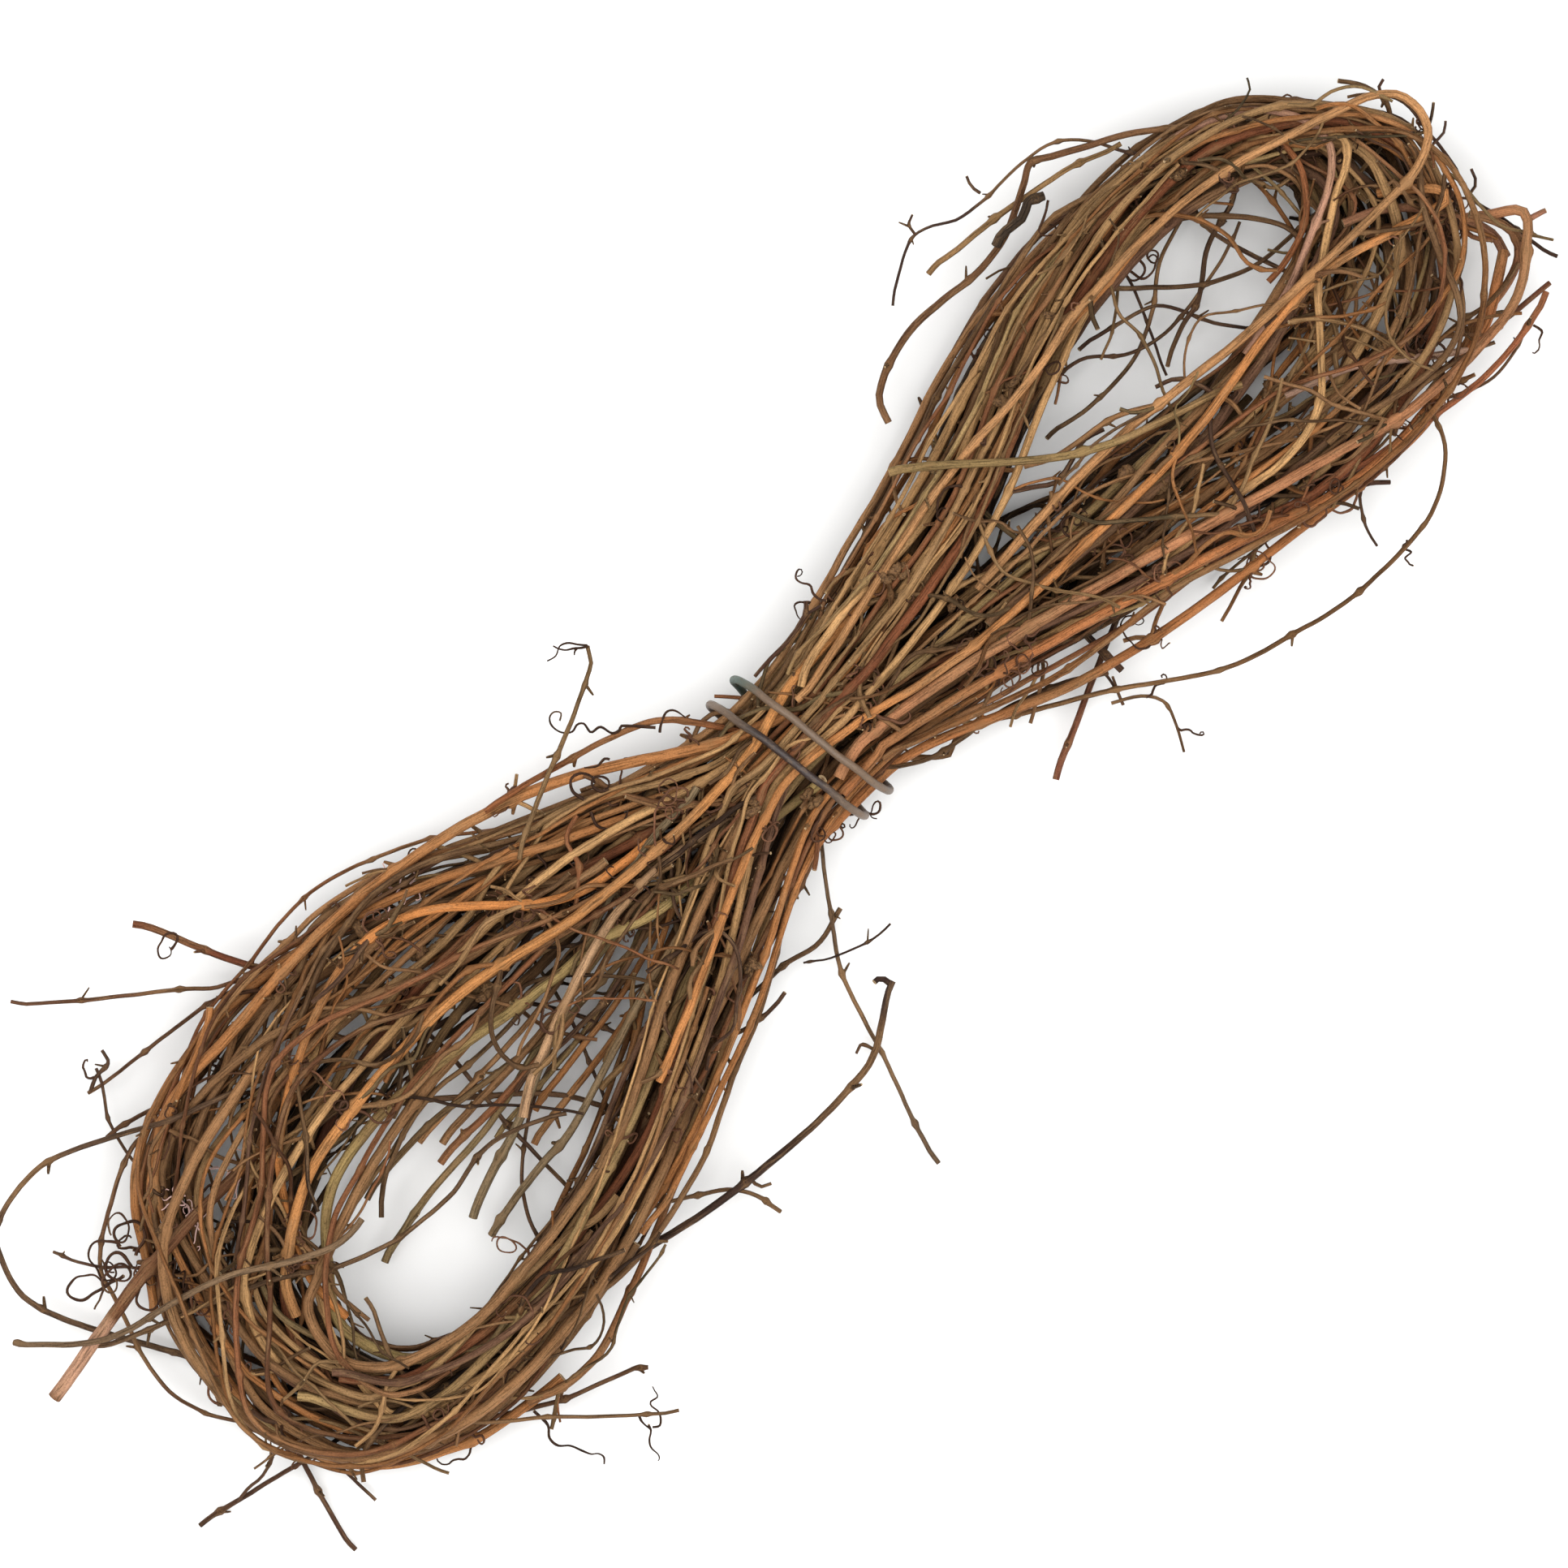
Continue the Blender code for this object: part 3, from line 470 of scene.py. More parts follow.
class Skin:
    """Gathers tubes into one mesh."""

    def __init__(self):
        self.places, self.faces, self.strips, self.count = [], [], [], 0
        self.values = {label: [] for label in ATTRIBUTES}

    def tube(self, line, radii, sides, tint, knot, seed):
        """A tube with flat ends. radii is (rings, sides); tint and knot have a value for each ring."""
        _, side, over = frames_along(line)
        turn = 2 * math.pi * np.arange(sides) / sides
        ring = np.cos(turn)[None, :, None] * side[:, None] + np.sin(turn)[None, :, None] * over[:, None]
        body = line[:, None] + ring * radii[..., None]
        rings = len(line)
        run = arc_length(line)
        mean = radii.mean()
        grain = np.empty((rings, sides, 3))
        grain[..., 0] = (np.cos(turn) * mean + 37.0 * seed)[None]
        grain[..., 1] = (np.sin(turn) * mean + 11.0 * seed)[None]
        grain[..., 2] = run[:, None]
        # The caps repeat the end rings, so that sawn wood and bark don't share a vertex.
        ends = [body[0], body[-1], line[:1], line[-1:]]
        places = np.concatenate([body.reshape(-1, 3), *ends])
        places[:, 2] = np.maximum(places[:, 2], FLOOR_GAP)
        number = np.arange(rings * sides).reshape(rings, sides)
        after = np.roll(number, -1, axis=1)
        quads = np.stack([number[:-1], after[:-1], after[1:], number[1:]], axis=-1).reshape(-1, 4)
        first = rings * sides + np.arange(sides)
        last = first + sides
        middles = rings * sides + 2 * sides
        caps = [(first[(k + 1) % sides], first[k], middles, middles) for k in range(sides)]
        caps += [(last[k], last[(k + 1) % sides], middles + 1, middles + 1) for k in range(sides)]
        faces = np.concatenate([quads, np.array(caps)])
        spread = np.repeat(np.arange(rings), sides)
        tail = [0] * sides + [rings - 1] * sides + [0, rings - 1]
        index = np.concatenate([spread, tail]).astype(int)
        grain = np.concatenate([grain.reshape(-1, 3), grain[0], grain[-1], grain[0][:1], grain[-1][:1]])
        cut = np.zeros(len(places))
        cut[rings * sides :] = 0.75
        cut[-2:] = 1.0
        tint = np.column_stack([tint[index], np.ones(len(places))])
        for label, value in zip(ATTRIBUTES, (tint, grain, knot[index], cut)):
            self.values[label].append(value)
        self.places.append(places)
        self.faces.append(faces + self.count)
        self.count += len(places)
        self.strips.append((run, 2 * math.pi * float(mean), sides))

    def unfold(self):
        """Face-corner places that lay each tube out as rows in a square, with its ends beside them."""
        area = sum((run[-1] + 6) * (girth + 2 * BAKE_MARGIN) for run, girth, _ in self.strips)
        width = math.sqrt(area * 1.12)
        left, low, high = 0.0, 0.0, 0.0
        corners = []

        def room(length, height):
            nonlocal left, low, high
            if left > 0 and left + length > width + BAKE_MARGIN:
                left, low, high = 0.0, low + high + BAKE_MARGIN, 0.0
            spot = (left, low)
            left += length + BAKE_MARGIN
            high = max(high, height)
            return spot

        for run, girth, sides in self.strips:
            up = girth * np.arange(sides + 1) / sides
            start, gaps = 0, len(run) - 1
            sheet = np.empty((gaps, sides, 4, 2))
            while start < gaps:
                stop = int(np.searchsorted(run, run[start] + width, side="right")) - 1
                stop = min(max(stop, start + 1), gaps)
                u, v = room(run[stop] - run[start], girth)
                along = u + run[start : stop + 1] - run[start]
                for corner, (ahead, over) in enumerate(((0, 0), (0, 1), (1, 1), (1, 0))):
                    sheet[start:stop, :, corner, 0] = along[ahead : ahead + stop - start, None]
                    sheet[start:stop, :, corner, 1] = (v + up[over : over + sides])[None]
                start = stop
            corners.append(sheet.reshape(-1, 2))
            reach = girth / (2 * math.pi)
            turn = 2 * math.pi * np.arange(sides + 1) / sides
            rim = reach * np.column_stack([np.cos(turn), np.sin(turn)])
            for first, second in ((rim[1:], rim[:-1]), (rim[:-1], rim[1:])):
                middle = np.array(room(2 * reach, 2 * reach)) + reach
                hub = 0 * first + middle
                disc = np.stack([first + middle, second + middle, hub, hub], axis=1)
                corners.append(disc.reshape(-1, 2))
        return np.concatenate(corners) / max(width + BAKE_MARGIN, low + high)

    def build(self, name, material, body="root"):
        """Makes the mesh object and lets it ride with a body of the frame."""
        places = np.concatenate(self.places) * MM
        quads = np.concatenate(self.faces)
        three = quads[:, 2] == quads[:, 3]
        lengths = np.where(three, 3, 4)
        keep = np.ones(quads.shape, bool)
        keep[three, 3] = False
        mesh = bpy.data.meshes.new(name)
        mesh.vertices.add(len(places))
        mesh.vertices.foreach_set("co", places.astype(np.float32).ravel())
        mesh.loops.add(int(lengths.sum()))
        mesh.loops.foreach_set("vertex_index", quads[keep].astype(np.int32))
        mesh.polygons.add(len(quads))
        starts = np.concatenate([[0], np.cumsum(lengths)[:-1]])
        mesh.polygons.foreach_set("loop_start", starts.astype(np.int32))
        mesh.update(calc_edges=True)
        layer = mesh.uv_layers.new(name="OFBake", do_init=False)
        layer.data.foreach_set("uv", self.unfold()[keep.ravel()].astype(np.float32).ravel())
        for label, (kind, field) in ATTRIBUTES.items():
            layer = mesh.attributes.new(label, kind, "POINT")
            values = np.concatenate(self.values[label])
            layer.data.foreach_set(field, values.astype(np.float32).ravel())
        mesh.shade_smooth()
        mesh.materials.append(material)
        obj = bpy.data.objects.new(name, mesh)
        bpy.context.scene.collection.objects.link(obj)
        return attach(obj, body)


def slow_noise(rng, lengths, wave):
    """A smooth random value of about -1 to 1 along a cane, with swings some wave millimetres long."""
    total = np.zeros_like(lengths)
    for share, stretch in ((0.55, 1.0), (0.3, 0.43), (0.15, 0.19)):
        phase = rng.uniform(0, 2 * math.pi)
        total += share * np.sin(2 * math.pi * lengths / (wave * stretch * rng.uniform(0.8, 1.25)) + phase)
    return total


def stub(skin, root, direction, length, radius, colour, seed):
    """A short broken side twig or bud."""
    line = np.array([root + unit(direction) * length * t for t in (-0.25, 0.35, 0.75, 1.0)])
    radii = radius * np.array([1.25, 1.0, 0.85, 0.6])[:, None] * np.ones((1, 5))
    skin.tube(line, radii, 5, np.tile(linear(colour), (4, 1)), np.full(4, 0.8), seed)


def burl(skin, place, size, colour, rng):
    """A rough knot, as a short lumpy tube."""
    way = rng.normal(0, 1, 3) * (1.0, 1.0, 0.3)
    steps = np.linspace(-1, 1, 9)
    line = place + steps[:, None] * unit(way) * size
    line += rng.normal(0, 0.08 * size, line.shape)
    radii = 0.55 * size * np.sqrt(1.08 - steps**2)[:, None] * (1 + 0.14 * rng.standard_normal((9, 8)))
    skin.tube(line, radii, 8, np.tile(linear(colour), (9, 1)), np.full(9, 1.0), rng.uniform(0, 9))


def cane(skin, points, radius, colour, rng, settings, patch=None):
    """A barked cane along points: swollen joints, a slight bend at each, buds, uneven colour, and a painted
    shade that darkens it deeper in the bundle.
    """
    dense = smooth_line(points)
    total = arc_length(dense)[-1]
    pitch = settings.joint_spacing / MM * min(1.6, 0.2 + 0.75 * radius)
    joints = []
    place = rng.uniform(0.1, 0.9) * pitch
    while place < total - 2:
        joints.append(place)
        place += pitch * rng.uniform(0.7, 1.3)
    joints = np.array(joints)
    width = 1.1 + 0.9 * radius
    rings = [np.arange(0, total, settings.ring_spacing / MM * (1.0 if radius > 1 else 0.8)), [total]]
    rings += [joints + width * k for k in (-1.1, -0.5, 0.0, 0.45, 1.0)]
    lengths = np.sort(np.concatenate(rings))
    lengths = lengths[(lengths >= 0) & (lengths <= total)]
    lengths = lengths[np.concatenate([[True], np.diff(lengths) > 0.3])]
    line = at_lengths(dense, lengths)
    _, side, over = frames_along(line)
    sway = 0.22 * slow_noise(rng, lengths, 70) + 0.1 * slow_noise(rng, lengths, 22)
    if len(joints) > 1:
        bends = rng.uniform(0.3, 1.1, len(joints)) * np.where(np.arange(len(joints)) % 2, 1, -1)
        sway = sway + np.interp(lengths, joints, bends) * min(1.2, 0.3 + 1.1 * radius, 0.9 / radius)
    calm = np.clip(np.minimum(lengths, total - lengths) / 4, 0, 1)
    line = line + side * (sway * calm)[:, None]
    line = line + over * (0.15 * slow_noise(rng, lengths, 50) * calm)[:, None]
    sides = 9 if radius > 1.4 else 8 if radius > 0.9 else 6
    turn = 2 * math.pi * np.arange(sides) / sides
    taper = 1.06 - 0.16 * lengths / total + 0.05 * slow_noise(rng, lengths, 60)
    radii = radius * taper[:, None] * (1 + 0.035 * rng.standard_normal(sides))[None]
    # Shallow ribs wander round the cane.
    radii = radii * (1 + 0.03 * np.sin(3 * turn[None] + 0.02 * lengths[:, None]))
    knot = np.zeros(len(lengths))
    for order, joint in enumerate(joints):
        away = (lengths - joint) / width
        near = np.exp(-(away**2) * 2.2)
        swell = rng.uniform(0.1, 0.36) * (1.0 if radius > 0.9 else 2.2)
        bud = rng.uniform(0, 2 * math.pi) if order % 3 == 0 else (order % 2) * math.pi + rng.normal(0, 0.5)
        lobe = np.clip(np.cos(turn - bud), 0, 1) ** 2
        radii = radii * (1 + swell * near[:, None] + 0.36 * np.exp(-((away - 0.35) ** 2) * 5)[:, None] * lobe)
        knot = np.maximum(knot, near * rng.uniform(0.4, 1.0))
        if rng.random() < settings.stub_share:
            k = int(np.abs(lengths - joint).argmin())
            out = math.cos(bud) * side[k] + math.sin(bud) * over[k]
            tip = line[k] + out * radius * 1.1
            if tip[2] > 1.2:
                ahead = line[min(k + 1, len(line) - 1)] - line[max(k - 1, 0)]
                lean = out + 0.7 * unit(ahead) * rng.choice([-1, 1])
                dark = shaded(rng, colour, 0.45, 0.85)
                size = rng.uniform(0.25, 0.5) * radius + 0.16
                stub(skin, tip, lean, rng.uniform(1.2, 4.5), size, dark, rng.uniform(0, 9))
    shade = 1 + 0.16 * slow_noise(rng, lengths, 150) + 0.08 * slow_noise(rng, lengths, 35)
    worn = np.clip(slow_noise(rng, lengths, 190) * 1.2 - 0.3, 0, 0.5)[:, None]
    # The painted shade. It isn't the bark's own colour, and it holds from every side.
    shade = shade * (DEEP_SHADE + TOP_SHADE * np.exp(-((cover().depth(line) / SHADE_DEPTH) ** SHADE_FALL)))
    tint = linear(colour)[None] * (1 - worn) + linear(WORN_BARK) * worn
    tint = tint * shade[:, None]
    if patch:
        begin, end, bare = patch
        inside = np.clip((lengths - begin) / 2, 0, 1) * np.clip((end - lengths) / 2, 0, 1)
        tint = tint * (1 - inside[:, None]) + linear(bare) * inside[:, None]
    skin.tube(line, radii, sides, tint, knot, rng.uniform(0, 9))
    return line, lengths, joints


# The middle lines of the frame's own tubes.


@functools.cache
def middle_line(name):
    """(points, radius), in millimetres, of the middle line of a six-sided tube, read from its mesh."""
    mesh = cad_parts[name].data
    mesh.calc_loop_triangles()
    places = np.empty(len(mesh.vertices) * 3)
    mesh.vertices.foreach_get("co", places)
    places = places.reshape(-1, 3) / MM
    faces = np.empty(len(mesh.loop_triangles) * 3, int)
    mesh.loop_triangles.foreach_get("vertices", faces)
    _, first, merged = np.unique(np.round(places, 2), axis=0, return_index=True, return_inverse=True)
    places = places[first]
    faces = merged.reshape(-1)[faces].reshape(-1, 3)
    normals = np.cross(places[faces[:, 1]] - places[faces[:, 0]], places[faces[:, 2]] - places[faces[:, 0]])
    normals /= np.maximum(np.linalg.norm(normals, axis=1), 1e-12)[:, None]
    around = [set() for _ in places]
    by_corner = [[] for _ in places]
    for number, face in enumerate(faces):
        for corner in face:
            around[corner].update(face)
            by_corner[corner].append(number)
    start, radius = None, None
    for number in range(len(faces)):
        group, edge = {number}, [number]
        while edge and len(group) < 8:
            current = edge.pop()
            for corner in faces[current]:
                for other in by_corner[corner]:
                    if other not in group and normals[other] @ normals[number] > 0.99999:
                        group.add(other)
                        edge.append(other)
        corners = sorted({corner for member in group for corner in faces[member]})
        if len(group) == 4 and len(corners) == 6:
            reach = np.linalg.norm(places[corners] - places[corners].mean(0), axis=1)
            if reach.std() < 0.01 * reach.mean():
                start, radius = set(corners), float(reach.mean())
                break
    if start is None:
        raise ValueError(f"{name} has no six-sided end")
    rings, seen = [sorted(start)], set(start)
    while True:
        ahead = {n for corner in rings[-1] for n in around[corner]} - seen
        if not ahead:
            break
        rings.append(sorted(ahead))
        seen |= ahead
    return np.array([places[ring].mean(0) for ring in rings]), radius


class Cover:
    """How high the bundle's top is over each spot, from the middle lines of its canes."""

    def __init__(self, lines, cell):
        points = np.concatenate(lines)
        self.cell, self.low = cell, points[:, :2].min(0) - 4 * cell
        spots = ((points[:, :2] - self.low) / cell).astype(int)
        self.top = np.zeros(spots.max(0) + 5)
        np.maximum.at(self.top, (spots[:, 0], spots[:, 1]), points[:, 2])
        for _ in range(3):
            for axis in (0, 1):
                self.top = (np.roll(self.top, 1, axis) + self.top + np.roll(self.top, -1, axis)) / 3

    def height(self, places):
        """The top's height over each place."""
        spots = (places[:, :2] - self.low) / self.cell - 0.5
        spots = np.clip(spots, 0, np.array(self.top.shape) - 2)
        cells = spots.astype(int)
        x, y = (spots - cells).T
        i, j = cells.T
        here = self.top[i, j] * (1 - y) + self.top[i, j + 1] * y
        return here * (1 - x) + (self.top[i + 1, j] * (1 - y) + self.top[i + 1, j + 1] * y) * x

    def depth(self, places):
        return np.maximum(self.height(places) - places[:, 2], 0)


@functools.cache
def cover():
    names = [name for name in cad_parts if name.startswith("cane_")]
    return Cover([smooth_line(middle_line(name)[0], 2.0) for name in names], 4.0)


# Thin canes, which fill the space between the solids.


def wander(rng, steps, size):
    """A slow random swing about zero, one value for each step."""
    swing = np.zeros_like(steps)
    for waves, share in ((0.6, 0.5), (1.3, 0.3), (2.2, 0.2)):
        swing += share * np.sin(waves * steps + rng.uniform(0, 2 * math.pi))
    return size * swing


def lap(rng, loop, rank, layer):
    """A run round a loop. Rank 0 is the loop's inner edge and 1 its outer; layer 0 is the bottom."""
    inner, outer = LOOPS[loop]
    steps = np.arange(STATIONS, dtype=float)
    ranks = np.clip(rank + wander(rng, steps, 0.5), 0.02, 0.97)[:, None]
    layers = np.clip(layer + wander(rng, steps, 0.3), 0.0, 1.0)
    flat = np.array(inner, float) * (1 - ranks) + np.array(outer, float) * ranks + WAIST[:2]
    return np.column_stack([flat, 1.0 + layers * (CEILING - 3.0)])


def lead_to(points, place, reach=4.0):
    """Moves the first stations of a run so that it starts at (y, z) in the waist."""
    t = np.clip(1 - np.arange(len(points)) / reach, 0.0, 1.0)
    points[:, 1:] += (t * t * (3 - 2 * t))[:, None] * (np.array(place) - points[0, 1:])


def thin_course(index, rng, laps):
    """The course of a thin cane that winds round one loop, through the waist and round the other."""
    name, line, side = ("lower", "upper")[index % 2], [], 0
    for _ in range(laps + 1):
        layer = rng.random()
        run = lap(rng, name, 0.05 + 0.9 * rng.beta(2.2, 2.2), layer)
        start = 1 if name == "lower" else -1
        if rng.random() < 0.5:
            run, start = run[::-1].copy(), -start
        if line:
            across = 0.5 * (side + start) * rng.uniform(0.1, 0.95)
            height = (2 * layer - 1) * math.sqrt(1 - across * across)
            place = (
                WAIST[1] + 0.95 * across * WAIST_HALF_WIDTH,
                WAIST[2] + 0.95 * height * WAIST_HALF_HEIGHT,
            )
            lead_to(line[-1][::-1], place)
            lead_to(run, place)
        line.append(run)
        side, name = -start, "upper" if name == "lower" else "lower"
    line[-1] = line[-1][: int(rng.integers(3, 8))]
    return np.concatenate(line)[int(rng.integers(0, 4)) :]


class Crowd:
    """Thin canes as chains of points, moved clear of the solids' canes and of one another."""

    def __init__(self, thin, fixed):
        lines = thin + fixed
        self.count = len(thin)
        self.points = np.vstack([points for points, _ in lines])
        self.owner = np.repeat(np.arange(len(lines)), [len(points) for points, _ in lines])
        self.radius = np.array([radius for _, radius in lines])[self.owner]
        self.free = self.owner < self.count
        same = self.owner[1:] == self.owner[:-1]
        self.starts = np.flatnonzero(same)
        self.moving = self.starts[self.free[self.starts]]
        inner = np.flatnonzero(same[1:] & same[:-1]) + 1
        self.inner = inner[self.free[inner]]
        self.first = self.points.copy()

    def near_pairs(self, reach):
        """Pairs of segments that may come within reach, the first of each pair on a thin cane."""

        def balls(starts):
            begin, end = self.points[starts], self.points[starts + 1]
            size = np.linalg.norm(end - begin, axis=1) / 2 + self.radius[starts] + reach / 2
            return ((begin + end) / 2).astype(np.float32), size.astype(np.float32)

        here, here_size = balls(self.moving)
        there, there_size = balls(self.starts)
        squared = (here**2).sum(1)[:, None] + (there**2).sum(1)[None] - 2 * here @ there.T
        a, b = np.nonzero(squared < (here_size[:, None] + there_size[None]) ** 2)
        a, b = self.moving[a], self.starts[b]
        keep = (self.owner[a] != self.owner[b]) & ((a < b) | ~self.free[b])
        return a[keep], b[keep]

    def push_apart(self, a, b, margin):
        """Moves each pair of segments nearer than margin some way apart."""
        along_a, along_b = self.points[a + 1] - self.points[a], self.points[b + 1] - self.points[b]
        gap = self.points[a] - self.points[b]
        aa, bb, ab = (along_a**2).sum(1), (along_b**2).sum(1), (along_a * along_b).sum(1)
        ga, gb = (gap * along_a).sum(1), (gap * along_b).sum(1)
        s = np.clip((ab * gb - bb * ga) / np.maximum(aa * bb - ab * ab, 1e-9), 0, 1)
        t = np.clip((ab * s + gb) / bb, 0, 1)
        s = np.clip((ab * t - ga) / aa, 0, 1)
        between = gap + along_a * s[:, None] - along_b * t[:, None]
        distance = np.linalg.norm(between, axis=1)
        wanted = self.radius[a] + self.radius[b] + margin
        close = distance < wanted
        a, b, s, t = a[close], b[close], s[close], t[close]
        share = (wanted - distance)[close] / np.maximum(distance[close], 0.2)
        push = 0.7 * share[:, None] * between[close]
        moved, weight = np.zeros_like(self.points), np.full(len(self.points), 0.5)
        for ends, part, sign in ((a, 1 - s, 1), (a + 1, s, 1), (b, 1 - t, -1), (b + 1, t, -1)):
            weight += np.bincount(ends, part, len(weight))
            for axis in range(3):
                moved[:, axis] += np.bincount(ends, sign * part * push[:, axis], len(weight))
        self.points[self.free] += (moved / weight[:, None])[self.free]

    def keep_in_bounds(self):
        """Holds the thin canes above the floor, under the top of the bundle and inside the tie."""
        points, radius = self.points[self.free], self.radius[self.free]
        in_waist = np.abs(points[:, 0] - WAIST[0]) < TIE_REACH
        wide, high = WAIST_HALF_WIDTH - radius, WAIST_HALF_HEIGHT - radius
        spread = np.hypot((points[:, 1] - WAIST[1]) / wide, (points[:, 2] - WAIST[2]) / high)
        squeeze = np.where(in_waist & (spread > 1), 1 / np.maximum(spread, 1e-9), 1.0)[:, None]
        points[:, 1:] = WAIST[1:] + (points[:, 1:] - WAIST[1:]) * squeeze
        points[:, 2] = np.clip(points[:, 2], radius, CEILING - radius)
        self.points[self.free] = points

    def settle(self, turns, smooth_turns):
        """Runs the rounds of pushing apart and returns the thin canes' points."""
        for turn in range(turns):
            if turn % SEARCH_EVERY == 0:
                a, b = self.near_pairs(SEARCH_REACH)
            if turn < smooth_turns:
                moved = self.points - self.first
                middle = self.inner
                moved[middle] += 0.35 * ((moved[middle - 1] + moved[middle + 1]) / 2 - moved[middle])
                self.points[self.free] = (self.first + moved * 0.997)[self.free]
            self.push_apart(a, b, THIN_GAP)
            self.keep_in_bounds()
        return [self.points[self.owner == index] for index in range(self.count)]


# Tendrils.


def tendril_course(kind, root, direction, size, rng):
    """Points of a curled thread that starts at root: a spring, a crook or a tight curl."""
    direction = unit(direction)
    aside = unit(np.cross((0.0, 0.0, 1.0), direction))
    over = np.cross(direction, aside)
    if kind == "spring":
        coils = max(2.0, size / 4.6)
        t = np.linspace(0, 1, int(coils * 12))
        wide = np.clip(4 * t, 0, 1) * rng.uniform(0.9, 1.7) * (1 + 0.35 * slow_noise(rng, t, 0.6))
        angle = 2 * math.pi * coils * t**0.9 + 0.9 * slow_noise(rng, t, 0.7)
        bend = rng.uniform(-0.3, 0.3) * size * t**2
        ways = ((direction, size * t), (aside, bend + wide * np.cos(angle)), (over, wide * np.sin(angle)))
        return root + sum(amount[:, None] * way for way, amount in ways)
    reach, turns, ease = {"crook": (1.5, 0.85, 3.0), "curl": (3.0, 1.7, 1.3)}[kind]
    hand = rng.choice([-1, 1])
    t = np.linspace(0, 1, 46)
    angle = hand * 2 * math.pi * turns * rng.uniform(0.6, 1.2) * t**ease + 1.1 * slow_noise(rng, t, 0.8)
    tilt = 0.5 * slow_noise(rng, t, 0.9)
    step = reach * size / len(t) * np.linspace(1.25, 0.75, len(t))[:, None]
    ways = np.cos(angle)[:, None] * direction + np.sin(angle)[:, None] * aside + tilt[:, None] * over
    return root + np.vstack([np.zeros(3), np.cumsum(ways * step, axis=0)])


def tendril(skin, points, radius, colour, rng):
    """A thin curled thread that tapers a little to its tip."""
    points = points.copy()
    points[:, 2] = np.clip(points[:, 2], 0.6, CEILING)
    dense = smooth_line(points, 0.7)
    run = np.arange(0, arc_length(dense)[-1], 0.8)
    line = at_lengths(dense, run)
    radii = radius * (1.15 - 0.5 * run / run[-1]) * (1 + 0.15 * slow_noise(rng, run, 9))
    shade = 1 + 0.2 * slow_noise(rng, run, 20)
    skin.tube(line, radii[:, None] * np.ones((1, 4)), 4, linear(colour)[None] * shade[:, None], 0 * run, 3.0)


# Materials.


class Term:
    """A socket in a material. Arithmetic on it adds Math nodes."""

    def __init__(self, finish, socket):
        self.finish, self.socket = finish, socket

    def maths(self, operation, first, second):
        return self.finish.add("ShaderNodeMath", {"operation": operation}, {0: first, 1: second})

    def __add__(self, other):
        return self.maths("ADD", self, other)

    def __radd__(self, other):
        return self.maths("ADD", other, self)

    def __sub__(self, other):
        return self.maths("SUBTRACT", self, other)

    def __rsub__(self, other):
        return self.maths("SUBTRACT", other, self)

    def __mul__(self, other):
        return self.maths("MULTIPLY", self, other)

    def __rmul__(self, other):
        return self.maths("MULTIPLY", other, self)


class Finish:
    """A material, and the ways to add nodes to it."""

    def __init__(self, name):
        self.material = bpy.data.materials.new(name)
        self.material.use_nodes = True
        self.shader = self.material.node_tree.nodes["Principled BSDF"]

    def add(self, kind, settings=None, inputs=None, output=0):
        node = self.material.node_tree.nodes.new(kind)
        for key, value in (settings or {}).items():
            setattr(node, key, value)
        for key, value in (inputs or {}).items():
            self.feed(node.inputs[key], value)
        return Term(self, node.outputs[output])

    def feed(self, socket, value):
        if isinstance(value, Term):
            self.material.node_tree.links.new(value.socket, socket)
        else:
            socket.default_value = value

    def surface(self, **values):
        for name, value in values.items():
            self.feed(self.shader.inputs[name.replace("_", " ").title()], value)

    def read(self, name, output):
        return self.add("ShaderNodeAttribute", {"attribute_name": name}, output=output)

    def mix(self, share, first, second, blend="MIX"):
        settings = {"data_type": "RGBA", "blend_type": blend, "clamp_result": False}
        return self.add("ShaderNodeMix", settings, {0: share, 6: first, 7: second}, output=2)

    def noise(self, place, across, along, detail=3.0, rough=0.6):
        """Noise with so many swings a millimetre across the grain and along it."""
        stretch = {0: place, 1: (across, across, along)}
        scaled = self.add("ShaderNodeVectorMath", {"operation": "MULTIPLY"}, stretch)
        inputs = {"Vector": scaled, "Scale": 1.0, "Detail": detail, "Roughness": rough}
        return self.add("ShaderNodeTexNoise", None, inputs)

    def between(self, value, low, high):
        """0 where the value is under low, 1 where it is over high."""
        settings = {"interpolation_type": "SMOOTHSTEP"}
        return self.add("ShaderNodeMapRange", settings, {"Value": value, "From Min": low, "From Max": high})

    def bump(self, height, distance, strength):
        inputs = {"Height": height, "Distance": distance, "Strength": strength}
        return self.add("ShaderNodeBump", None, inputs)


